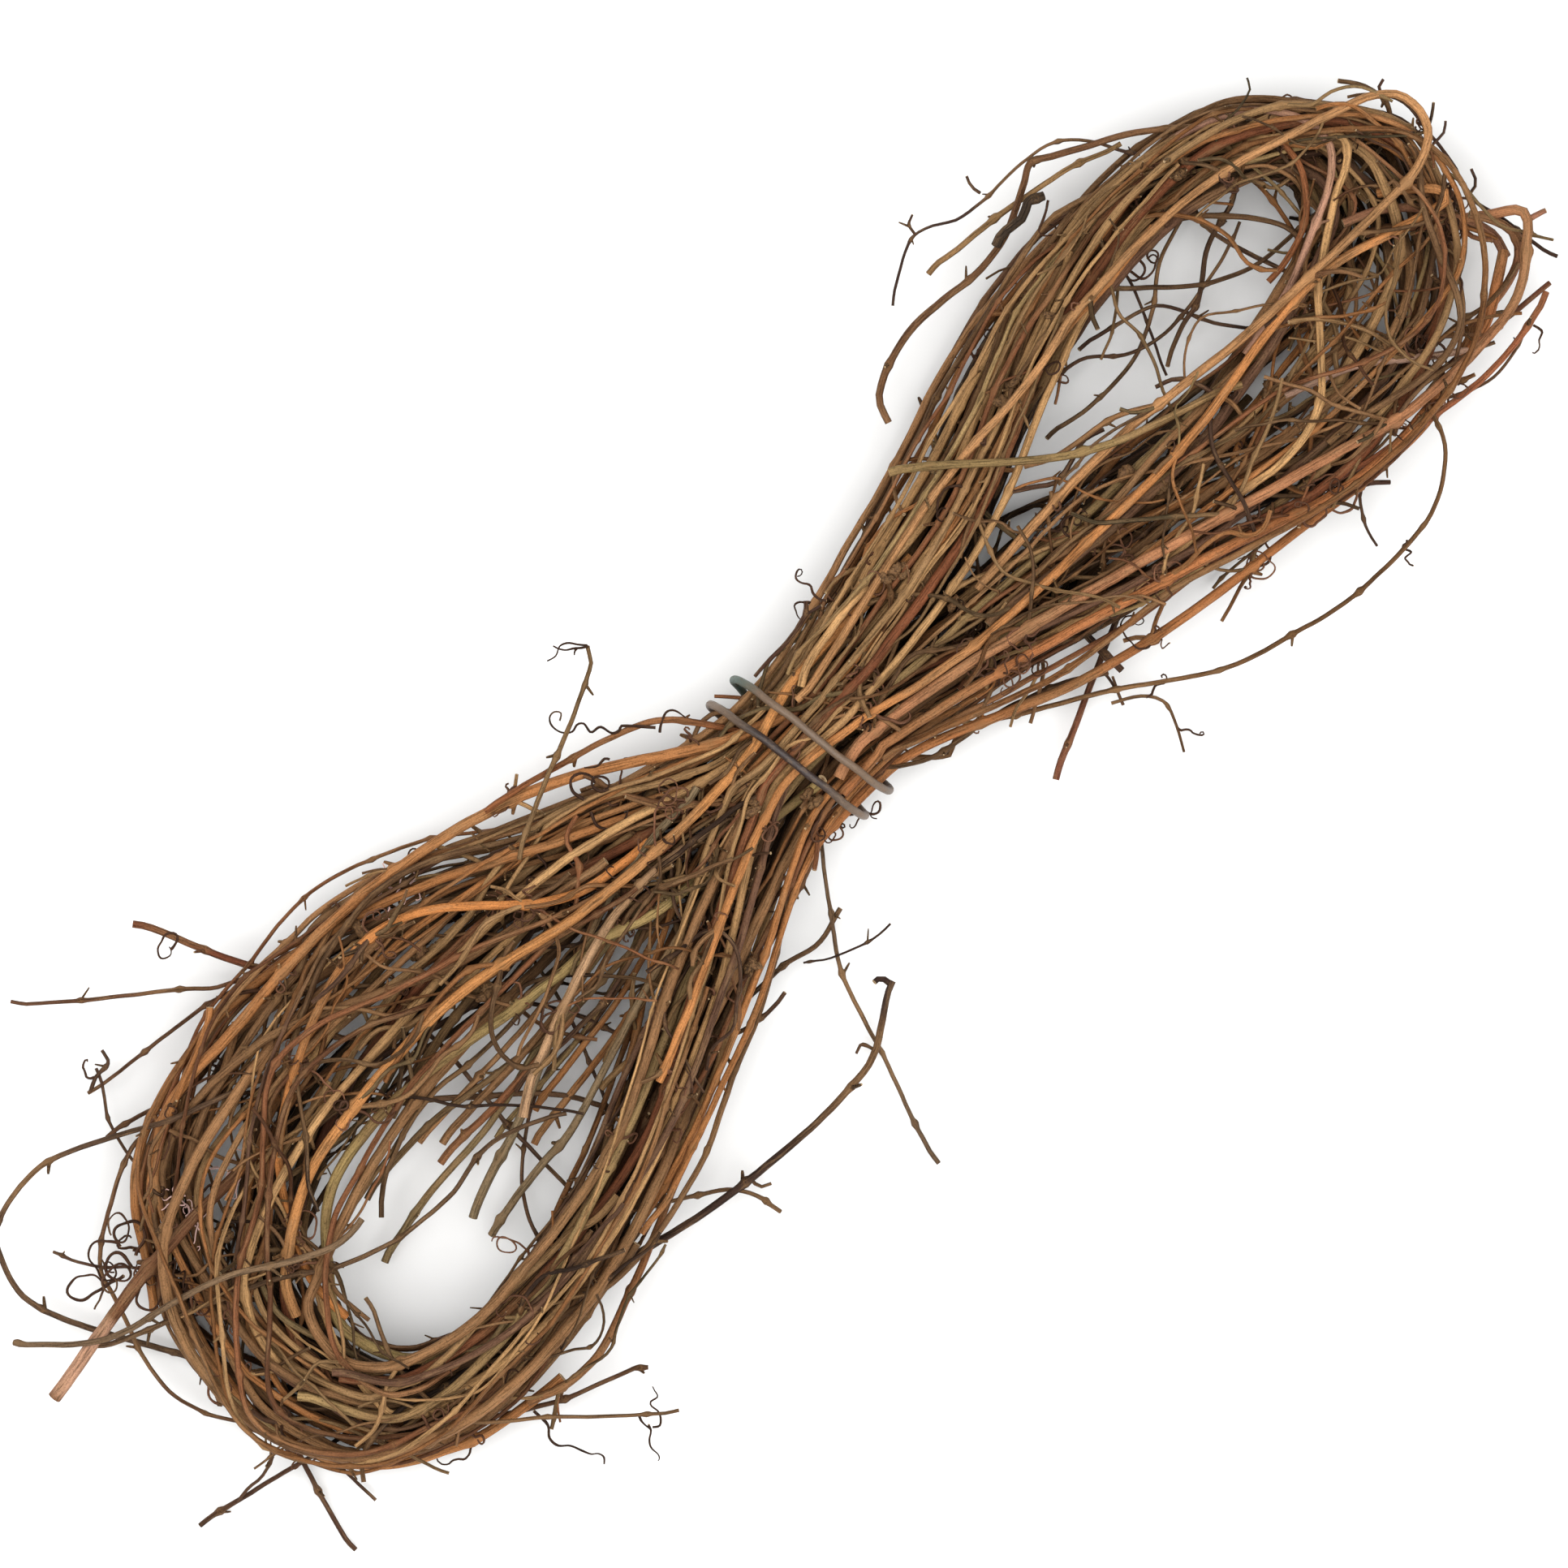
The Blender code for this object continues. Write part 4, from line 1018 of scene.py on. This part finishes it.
def bark_finish(bark):
    """Dry vine bark: long fibres and furrows, greyed patches, rough pale joints and sawn ends."""
    finish = Finish("vine_bark")
    tint, grain = finish.read("tint", "Color"), finish.read("grain", "Vector")
    knot, cut = finish.read("knot", "Fac"), finish.read("cut", "Fac")
    deep = (*bark.furrow_colour, 1.0)
    fibres = finish.noise(grain, 2.0, 0.09, 5.0, 0.72)
    threads = finish.noise(grain, 4.2, 0.16, 3.0, 0.6)
    flakes = finish.noise(grain, 0.42, 0.06, 4.0, 0.65)
    crumbs = finish.noise(grain, 2.4, 1.8, 3.0, 0.6)
    furrow = 1 - finish.between(fibres, 0.36, 0.52)
    ridge = finish.between(fibres * 0.7 + threads * 0.3, 0.5, 0.66)
    weathered = finish.between(flakes, 0.52, 0.62)
    # Painted highlight: the fibre ridges are lightened, partly paler streaks of bark and partly the highlight
    # that falls on them.
    streak_and_highlight = finish.mix(1.0, tint, (1.5, 1.48, 1.44, 1.0), "MULTIPLY")
    greyed = finish.mix(0.55, tint, (*bark.weathered_colour, 1.0))
    flecks = finish.between(finish.noise(grain, 1.3, 0.7, 3.0, 0.7), 0.6, 0.7)
    colour = finish.mix(ridge * 0.55, tint, streak_and_highlight)
    colour = finish.mix(weathered * 0.6, colour, greyed)
    # Painted shade: the furrows darken towards black, partly the bark's darker inner colour and partly the
    # shade that falls in them.
    colour = finish.mix(furrow * 0.6, colour, deep)
    colour = finish.mix(flecks * 0.5, colour, deep)
    colour = finish.mix(finish.between(crumbs, 0.45, 0.68) * 0.35, colour, deep)
    joint = finish.mix(finish.between(crumbs, 0.35, 0.65), deep, (*bark.joint_colour, 1.0))
    colour = finish.mix(knot * 0.4, colour, joint)
    sawn = finish.mix(finish.between(cut, 0.8, 1.0), (*bark.wood_colour, 1.0), (*bark.pith_colour, 1.0))
    colour = finish.mix(finish.between(cut, 0.3, 0.6), colour, sawn)
    height = fibres * 0.7 + threads * 0.35 + crumbs * (knot * 0.3)
    finish.surface(
        base_color=colour,
        roughness=0.6 + furrow * 0.25 + weathered * 0.1,
        normal=finish.bump(height, 0.0006, 0.8),
    )
    finish.shader.inputs["Specular IOR Level"].default_value = 0.1
    return finish.material


def wire_finish(tie):
    """A dull coated wire, scuffed paler in places."""
    finish = Finish("tie_coating")
    tint, grain = finish.read("tint", "Color"), finish.read("grain", "Vector")
    scuffs = finish.noise(grain, 0.9, 0.35, 4.0, 0.7)
    pits = finish.noise(grain, 3.0, 2.2, 2.0, 0.5)
    worn = finish.between(scuffs, 0.5, 0.62)
    pale = finish.mix(0.5, tint, (*tie.scuff_colour, 1.0))
    dark = finish.mix(1.0, tint, (0.45, 0.42, 0.4, 1.0), "MULTIPLY")
    colour = finish.mix(worn * 0.6, tint, pale)
    colour = finish.mix(finish.between(pits, 0.55, 0.7) * 0.5, colour, dark)
    finish.surface(
        base_color=colour,
        roughness=0.42 + worn * 0.3,
        normal=finish.bump(scuffs + pits * 0.6, 0.0004, 0.5),
    )
    return finish.material


def shred_finish(bundle):
    """Soft spun fibre."""
    finish = Finish("twine_shred")
    grain = finish.read("grain", "Vector")
    strands = finish.noise(grain, 3.0, 0.5)
    colour = finish.mix(strands, (*bundle.shred_colour, 1.0), (*bundle.shred_pale, 1.0))
    finish.surface(base_color=colour, roughness=0.9)
    return finish.material


def floor_finish(stage):
    """A plain matt board."""
    finish = Finish("stage_floor")
    finish.surface(base_color=(*stage.floor_colour, 1.0), roughness=0.95)
    finish.shader.inputs["Specular IOR Level"].default_value = 0.1
    return finish.material


# Settings that a user may change.


def colour_property(name, description, default):
    share = tuple(float(part) for part in linear(default))
    return bpy.props.FloatVectorProperty(
        name=name, description=description, default=share, size=3, subtype="COLOR", min=0.0, max=1.0
    )


def length_property(name, description, default):
    return bpy.props.FloatProperty(
        name=name, description=description, default=default, unit="LENGTH", subtype="DISTANCE", min=0.0
    )


def plain_property(name, description, default):
    return bpy.props.FloatProperty(name=name, description=description, default=default, min=0.0)


def count_property(name, description, default):
    return bpy.props.IntProperty(name=name, description=description, default=default, min=0)


class BarkSettings(bpy.types.PropertyGroup):
    """The bark's look."""

    # Black in the furrows is partly painted shade. In the flecks and mottling it is the bark's own marks.
    furrow_colour: colour_property("Furrows", "Colour that the furrows and flecks darken to", (0, 0, 0))
    weathered_colour: colour_property("Weathered", "Colour of the greyed outer bark", (150, 118, 84))
    joint_colour: colour_property("Joint", "Pale colour of the swollen joints", (160, 120, 78))
    wood_colour: colour_property("Cut wood", "Colour of a sawn end", (196, 168, 128))
    pith_colour: colour_property("Pith", "Colour of the pith at a sawn end", (120, 88, 62))
    joint_spacing: length_property("Joint spacing", "Distance between joints on a middling cane", 0.038)
    ring_spacing: length_property("Ring spacing", "Distance between the mesh's rings along a cane", 0.003)
    stub_share: plain_property("Stubs", "Share of the joints with a broken stub", 0.55)


class BundleSettings(bpy.types.PropertyGroup):
    """What fills the bundle besides its solids."""

    thin_canes: count_property("Thin canes", "Thin canes between the solids", 38)
    thinnest: length_property("Thinnest", "Radius of the thinnest of them", 0.00045)
    thickest: length_property("Thickest", "Radius of the thickest of them", 0.0013)
    side_shoots: count_property("Side shoots", "Short shoots from the joints", 430)
    tendrils: count_property("Tendrils", "Tendrils scattered on the canes", 420)
    shred_colour: colour_property("Shreds", "Colour of the caught twine fibres", (226, 176, 168))
    shred_pale: colour_property("Pale shreds", "Colour of the paler strands in them", (226, 196, 184))


class TieSettings(bpy.types.PropertyGroup):
    """The tie's colours."""

    dark_colour: colour_property("Dark", "Coating where it is cleanest", (50, 38, 34))
    dull_colour: colour_property("Dull", "Coating where it is dusty", (106, 86, 68))
    teal_colour: colour_property("Teal", "Coating at the end that has turned", (62, 84, 72))
    scuff_colour: colour_property("Scuffs", "Colour of the scuffs", (134, 112, 90))


class StageSettings(bpy.types.PropertyGroup):
    """The studio."""

    floor_colour: colour_property("Floor", "Colour of the floor", (244, 244, 243))
    camera_height: length_property("Camera height", "Height of the camera above the floor", 1.833)
    key_power: plain_property("Key", "Power of the key light, in watts", 42.0)
    fill_strength: plain_property("Fill", "Strength of the sky", 0.31)


SETTINGS = {
    "grapevine_bark": BarkSettings,
    "grapevine_bundle": BundleSettings,
    "grapevine_tie": TieSettings,
    "grapevine_stage": StageSettings,
}


# Operators. What one grows, a later one reads here: name: (line, lengths, joints, radius).

GROWN = {}
FINISHES = {}


def bark_material(context):
    if "bark" not in FINISHES:
        FINISHES["bark"] = bark_finish(context.scene.grapevine_bark)
    return FINISHES["bark"]


def wound_bark(index):
    """The bark colour of a cane that no single cane in the photograph gives."""
    place, total = (BARK_STEP * index + 0.35) % 1.0, 0.0
    for colour, share in BARKS.values():
        total += share
        if place < total:
            return colour
    return BARKS["tan"][0]


def dress(context, name, colour, seed, patch=None):
    """Grows a barked cane along a solid's middle line, in that solid's place."""
    points, radius = middle_line(name)
    rng = np.random.default_rng(seed)
    skin = Skin()
    slim = SLIMMER.get(name, SLIM) * radius
    grown = cane(skin, points, slim, colour, rng, context.scene.grapevine_bark, patch)
    GROWN[name] = (*grown, radius)
    piece = skin.build(f"{name}_bark", bark_material(context))
    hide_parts(name)
    return piece


class GRAPEVINE_OT_wound_canes(bpy.types.Operator):
    """Adds the long canes that wind round both loops"""

    bl_idname = "grapevine.wound_canes"
    bl_label = "Wound canes"

    def execute(self, context):
        names = sorted(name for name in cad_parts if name.startswith("cane_") and name not in CANE_BARK)
        for index, name in enumerate(names):
            tone = 0.86 + 0.26 * ((TONE_STEP * index) % 1.0)
            colour = OLD_BARK.get(name, tone * np.array(wound_bark(index)))
            dress(context, name, colour, 100 + index)
        return {"FINISHED"}


class GRAPEVINE_OT_top_canes(bpy.types.Operator):
    """Adds the canes on top, whose courses show"""

    bl_idname = "grapevine.top_canes"
    bl_label = "Top canes"

    def execute(self, context):
        for index, (name, colour) in enumerate(CANE_BARK.items()):
            if name.startswith("cane_"):
                dress(context, name, colour, 200 + index)
        return {"FINISHED"}


class GRAPEVINE_OT_shoots(bpy.types.Operator):
    """Adds the shoots and stray ends that leave the bundle's outline"""

    bl_idname = "grapevine.shoots"
    bl_label = "Shoots"

    def execute(self, context):
        for index, (name, colour) in enumerate(CANE_BARK.items()):
            if name.startswith("shoot_"):
                patch = PEELED if name == "shoot_peeled_stub" else None
                shade = SHOOT_SHADE * np.array(colour)
                dress(context, name, shade, 300 + index, patch)
        return {"FINISHED"}


class GRAPEVINE_OT_tie(bpy.types.Operator):
    """Adds the two turns of coated wire round the waist"""

    bl_idname = "grapevine.tie"
    bl_label = "Wire tie"

    def execute(self, context):
        tie = context.scene.grapevine_tie
        points, radius = middle_line("tie_wire")
        rng = np.random.default_rng(7)
        dense = smooth_line(points, 1.0)
        run = arc_length(dense)
        lengths = np.linspace(0, run[-1], int(run[-1] / 1.5))
        line = at_lengths(dense, lengths)
        line[:, 0] += 0.5 * slow_noise(rng, lengths, 60)
        away = (line[:, 1] - WAIST[1]) / WAIST_HALF_WIDTH
        first = line[:, 0] < WAIST[0]
        colours = (tie.dark_colour, tie.dull_colour, tie.teal_colour)
        dark, dull, teal = (np.array(colour) for colour in colours)
        edge = np.clip((np.abs(away) - 0.45) / 0.5, 0, 1)[:, None]
        far = np.clip((away - 0.75) / 0.3, 0, 1)[:, None]
        tint = np.where(first[:, None], dark * (1 - edge) + dull * edge, dull * (1 - far) + teal * far)
        tint = tint * (1 + 0.12 * slow_noise(rng, lengths, 30))[:, None]
        radii = radius * (1 + 0.03 * slow_noise(rng, lengths, 14))[:, None] * np.ones((1, 12))
        skin = Skin()
        skin.tube(line, radii, 12, tint, 0 * lengths, 1.0)
        piece = skin.build("tie_wire_coating", wire_finish(tie))
        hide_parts("tie_wire")
        return {"FINISHED"}


class GRAPEVINE_OT_thin_canes(bpy.types.Operator):
    """Adds the thin canes that fill the space between the others"""

    bl_idname = "grapevine.thin_canes"
    bl_label = "Thin canes"

    def execute(self, context):
        bundle, bark = context.scene.grapevine_bundle, context.scene.grapevine_bark
        rng = np.random.default_rng(23)
        thin = []
        for index in range(bundle.thin_canes):
            radius = (bundle.thinnest + (bundle.thickest - bundle.thinnest) * rng.random() ** 1.3) / MM
            course = smooth_line(thin_course(index, rng, 1 + index % 2))
            steps = np.arange(0, arc_length(course)[-1], THIN_STEP)
            thin.append((at_lengths(course, steps), radius))
        fixed = []
        for name, (line, lengths, _, radius) in GROWN.items():
            fixed.append((at_lengths(line, np.arange(0, lengths[-1], FIXED_STEP)), radius))
        settled = Crowd(thin, fixed).settle(SETTLE_TURNS, SMOOTH_TURNS)
        for group in range(THIN_GROUPS):
            skin = Skin()
            for index in range(group, len(settled), THIN_GROUPS):
                colour = shaded(rng, wound_bark(3 * index + 1), 0.62, 1.12)
                cane(skin, settled[index], thin[index][1], colour, rng, bark)
            skin.build(f"thin_canes_{group + 1}", bark_material(context))
        return {"FINISHED"}


class GRAPEVINE_OT_twigs(bpy.types.Operator):
    """Adds the twigs across the loops and beside the bundle"""

    bl_idname = "grapevine.twigs"
    bl_label = "Twigs"

    def execute(self, context):
        rng = np.random.default_rng(31)
        skin = Skin()
        bark = context.scene.grapevine_bark
        for number, (radius, colour, route) in enumerate(TWIGS):
            points = np.array([at_pixel(*place) for place in route])
            grown = cane(skin, points, radius, SHOOT_SHADE * np.array(colour), rng, bark)
            GROWN[f"twig_{number}"] = (*grown, radius)
        count, tops, feet, (low, high) = FAN
        for number in range(count):
            share = (number + rng.uniform(0.1, 0.9)) / count
            top, foot = ((1 - share) * np.array(a) + share * np.array(b) for a, b in (tops, feet))
            foot = foot + (top - foot) * rng.uniform(0, 0.4)
            bow = rng.uniform(-25, 25) + 20
            height = rng.uniform(low, high)
            steps = np.linspace(0, 1, 6)
            route = foot + (top - foot) * steps[:, None]
            route[:, 0] += bow * np.sin(math.pi * steps)
            points = np.array([at_pixel(x, y, height * (0.7 + 0.5 * t)) for (x, y), t in zip(route, steps)])
            colour = shaded(rng, wound_bark(5 * number + 2), 0.75, 1.05)
            cane(skin, points, rng.uniform(0.6, 1.2), colour, rng, bark)
        skin.build("twigs", bark_material(context))
        return {"FINISHED"}


def near_bundle():
    """A function that tells how far, in millimetres, a place is from the nearest of the bundle's canes."""
    places = np.concatenate([parts[0][::2] for name, parts in GROWN.items() if name.startswith("cane_")])
    tree = KDTree(len(places))
    for index, place in enumerate(places):
        tree.insert(place, index)
    tree.balance()
    return lambda place: tree.find(place)[2]


def at_joint(rng, grown):
    """A random joint: its place, the cane's direction there and the cane's radius."""
    line, lengths, joints, radius = grown[int(rng.integers(len(grown)))]
    k = int(np.abs(lengths - rng.choice(joints)).argmin())
    ahead = line[min(k + 1, len(line) - 1)] - line[max(k - 1, 0)]
    return line[k], unit(ahead) * rng.choice([-1, 1]), radius


def hidden(rng, root, limit):
    """True for most places that are deeper in the bundle than the limit's depth."""
    depth, share = limit
    return cover().depth(root[None])[0] > depth and rng.random() < share


class GRAPEVINE_OT_side_shoots(bpy.types.Operator):
    """Adds the short side shoots that grow from the joints"""

    bl_idname = "grapevine.side_shoots"
    bl_label = "Side shoots"

    def execute(self, context):
        rng = np.random.default_rng(37)
        skin = Skin()
        away = near_bundle()
        grown = [parts for parts in GROWN.values() if len(parts[2])]
        left = context.scene.grapevine_bundle.side_shoots
        while left > 0:
            root, ahead, radius = at_joint(rng, grown)
            if hidden(rng, root, DEEP_SHOOT):
                continue
            level = np.array([-ahead[1], ahead[0], 0.0]) * rng.choice([-1, 1])
            way = ahead + level * rng.uniform(0.1, 1.5) + np.array([0.0, 0.0, rng.normal(0.2, 0.18)])
            length = rng.uniform(8, 60)
            count = int(length / 12) + 2
            points = [root]
            for _ in range(count):
                way = unit(way)
                points.append(points[-1] + way * length / count)
                way = way + rng.normal(0, 0.28, 3) * (1.0, 1.0, 0.4)
            points = np.array(points)
            points[:, 2] = np.clip(points[:, 2], 0.8, CEILING)
            if away(root) > 3.0 + radius or away(points[-1]) > rng.choice([7.0, 12.0]):
                continue
            left -= 1
            colour = shaded(rng, wound_bark(left), 0.45, 0.95)
            size = rng.uniform(0.35, 0.85) * min(1.0, 0.55 + 0.4 * radius)
            cane(skin, points, size, colour, rng, context.scene.grapevine_bark)
        for x, y in BURLS:
            place = np.array(at_pixel(x, y, 0.0))
            place[2] = min(cover().height(place[None])[0] + 3.0, CEILING - 1.5)
            for _ in range(3):
                shade = shaded(rng, BURL_BARK, 0.6, 1.1)
                burl(skin, place + rng.normal(0, 1.3, 3) * (1, 1, 0.4), rng.uniform(1.8, 3.2), shade, rng)
        skin.build("side_shoots", bark_material(context))
        return {"FINISHED"}


class GRAPEVINE_OT_tendrils(bpy.types.Operator):
    """Adds the curled tendrils"""

    bl_idname = "grapevine.tendrils"
    bl_label = "Tendrils"

    def execute(self, context):
        rng = np.random.default_rng(47)
        skin = Skin()
        for kind, radius, root, angle, size in TENDRILS:
            course = tendril_course(kind, np.array(at_pixel(*root)), heading(angle), size, rng)
            tendril(skin, course, 1.4 * radius, PLACED_TENDRIL, rng)
        for radius, low, high, route in DRAWN_TENDRILS:
            heights = np.linspace(low, high, len(route))
            points = np.array([at_pixel(x, y, z) for (x, y), z in zip(route, heights)])
            tendril(skin, points, radius, DRAWN_TENDRIL, rng)
        grown = [parts for parts in GROWN.values() if len(parts[2])]
        away = near_bundle()
        left = context.scene.grapevine_bundle.tendrils
        while left > 0:
            root, ahead, _ = at_joint(rng, grown)
            if hidden(rng, root, DEEP_TENDRIL):
                continue
            way = np.array([-ahead[1], ahead[0], 0.0]) * rng.choice([-1, 1])
            way = way + 0.7 * rng.standard_normal(3) * (1, 1, 0.3) + (0.0, 0.0, rng.uniform(0.0, 0.8))
            kind = ("spring", "crook", "curl")[int(rng.choice(3, p=(0.2, 0.45, 0.35)))]
            course = tendril_course(kind, root, way, rng.uniform(4, 12), rng)
            if away(root) > 4.0 or (away(course[-1]) > 5.0 and rng.random() < 0.9):
                continue
            left -= 1
            shade = shaded(rng, LOOSE_TENDRIL, 0.7, 1.4)
            tendril(skin, course, rng.uniform(0.3, 0.5), shade, rng)
        skin.build("tendrils", bark_material(context))
        return {"FINISHED"}


class GRAPEVINE_OT_twine_shreds(bpy.types.Operator):
    """Adds the pale twine fibres caught in the left band"""

    bl_idname = "grapevine.twine_shreds"
    bl_label = "Twine shreds"

    def execute(self, context):
        rng = np.random.default_rng(53)
        skin = Skin()
        for across, down in TWINE_SHREDS:
            for _ in range(TWINE_FIBRES):
                start = np.array(at_pixel(across, down, 0.0)) + rng.normal(0, 2.2, 3)
                start[2] = cover().height(start[None])[0] + rng.uniform(1.0, 3.0)
                course = tendril_course("crook", start, heading(rng.uniform(0, 360)), rng.uniform(4, 11), rng)
                tendril(skin, course, TWINE_RADIUS, TWINE_TINT, rng)
        skin.build("twine_shreds", shred_finish(context.scene.grapevine_bundle))
        return {"FINISHED"}


class GRAPEVINE_OT_stage(bpy.types.Operator):
    """Adds the floor, the lights and the camera"""

    bl_idname = "grapevine.stage"
    bl_label = "Stage"

    def execute(self, context):
        stage = context.scene.grapevine_stage
        mesh = bpy.data.meshes.new("floor")
        corners = [(FLOOR_REACH * x, FLOOR_REACH * y, 0) for x, y in ((-1, -1), (1, -1), (1, 1), (-1, 1))]
        mesh.from_pydata(corners, [], [(0, 1, 2, 3)])
        mesh.materials.append(floor_finish(stage))
        floor = bpy.data.objects.new("floor", mesh)
        context.scene.collection.objects.link(floor)
        world = bpy.data.worlds.new("studio")
        world.use_nodes = True
        sky = world.node_tree.nodes["Background"]
        sky.inputs["Color"].default_value = (1.0, 1.0, 1.0, 1.0)
        sky.inputs["Strength"].default_value = stage.fill_strength
        context.scene.world = world
        middle = Vector(WAIST * MM)
        for name, (share, size, place) in LIGHTS.items():
            light = bpy.data.lights.new(name, "AREA")
            light.energy = stage.key_power * share
            light.size = size
            lamp = bpy.data.objects.new(name, light)
            lamp.location = middle + Vector(place)
            lamp.rotation_euler = (-Vector(place)).to_track_quat("-Z", "Y").to_euler()
            context.scene.collection.objects.link(lamp)
        lens = bpy.data.cameras.new("camera")
        lens.lens = LENS
        lens.sensor_width = SENSOR
        camera = bpy.data.objects.new("camera", lens)
        across, down = IMAGE_MIDDLE
        x, y, _ = at_pixel(across, down, 0.0)
        camera.location = (x * MM, y * MM, stage.camera_height)
        camera.rotation_euler = (0.0, 0.0, -AXIS_ANGLE)
        context.scene.collection.objects.link(camera)
        context.scene.camera = camera
        context.scene.view_settings.view_transform = "Standard"
        return {"FINISHED"}


OPERATORS = (
    GRAPEVINE_OT_wound_canes,
    GRAPEVINE_OT_top_canes,
    GRAPEVINE_OT_shoots,
    GRAPEVINE_OT_tie,
    GRAPEVINE_OT_thin_canes,
    GRAPEVINE_OT_twigs,
    GRAPEVINE_OT_side_shoots,
    GRAPEVINE_OT_tendrils,
    GRAPEVINE_OT_twine_shreds,
    GRAPEVINE_OT_stage,
)


class GRAPEVINE_PT_bundle(bpy.types.Panel):
    """The sidebar panel that lists the settings and the operators"""

    bl_idname = "GRAPEVINE_PT_bundle"
    bl_label = "Grapevine bundle"
    bl_space_type = "VIEW_3D"
    bl_region_type = "UI"
    bl_category = "Grapevine"

    def draw(self, context):
        layout = self.layout
        for attribute, group in SETTINGS.items():
            for name in group.__annotations__:
                layout.prop(getattr(context.scene, attribute), name)
        for operator in OPERATORS:
            layout.operator(operator.bl_idname)


def register():
    for kind in (*SETTINGS.values(), *OPERATORS, GRAPEVINE_PT_bundle):
        bpy.utils.register_class(kind)
    for attribute, group in SETTINGS.items():
        setattr(bpy.types.Scene, attribute, bpy.props.PointerProperty(type=group))


def unregister():
    for attribute in SETTINGS:
        delattr(bpy.types.Scene, attribute)
    for kind in reversed((*SETTINGS.values(), *OPERATORS, GRAPEVINE_PT_bundle)):
        bpy.utils.unregister_class(kind)


def main():
    register()
    for operator in OPERATORS:
        getattr(bpy.ops.grapevine, operator.bl_idname.split(".")[1])()


if __name__ == "__main__":
    main()
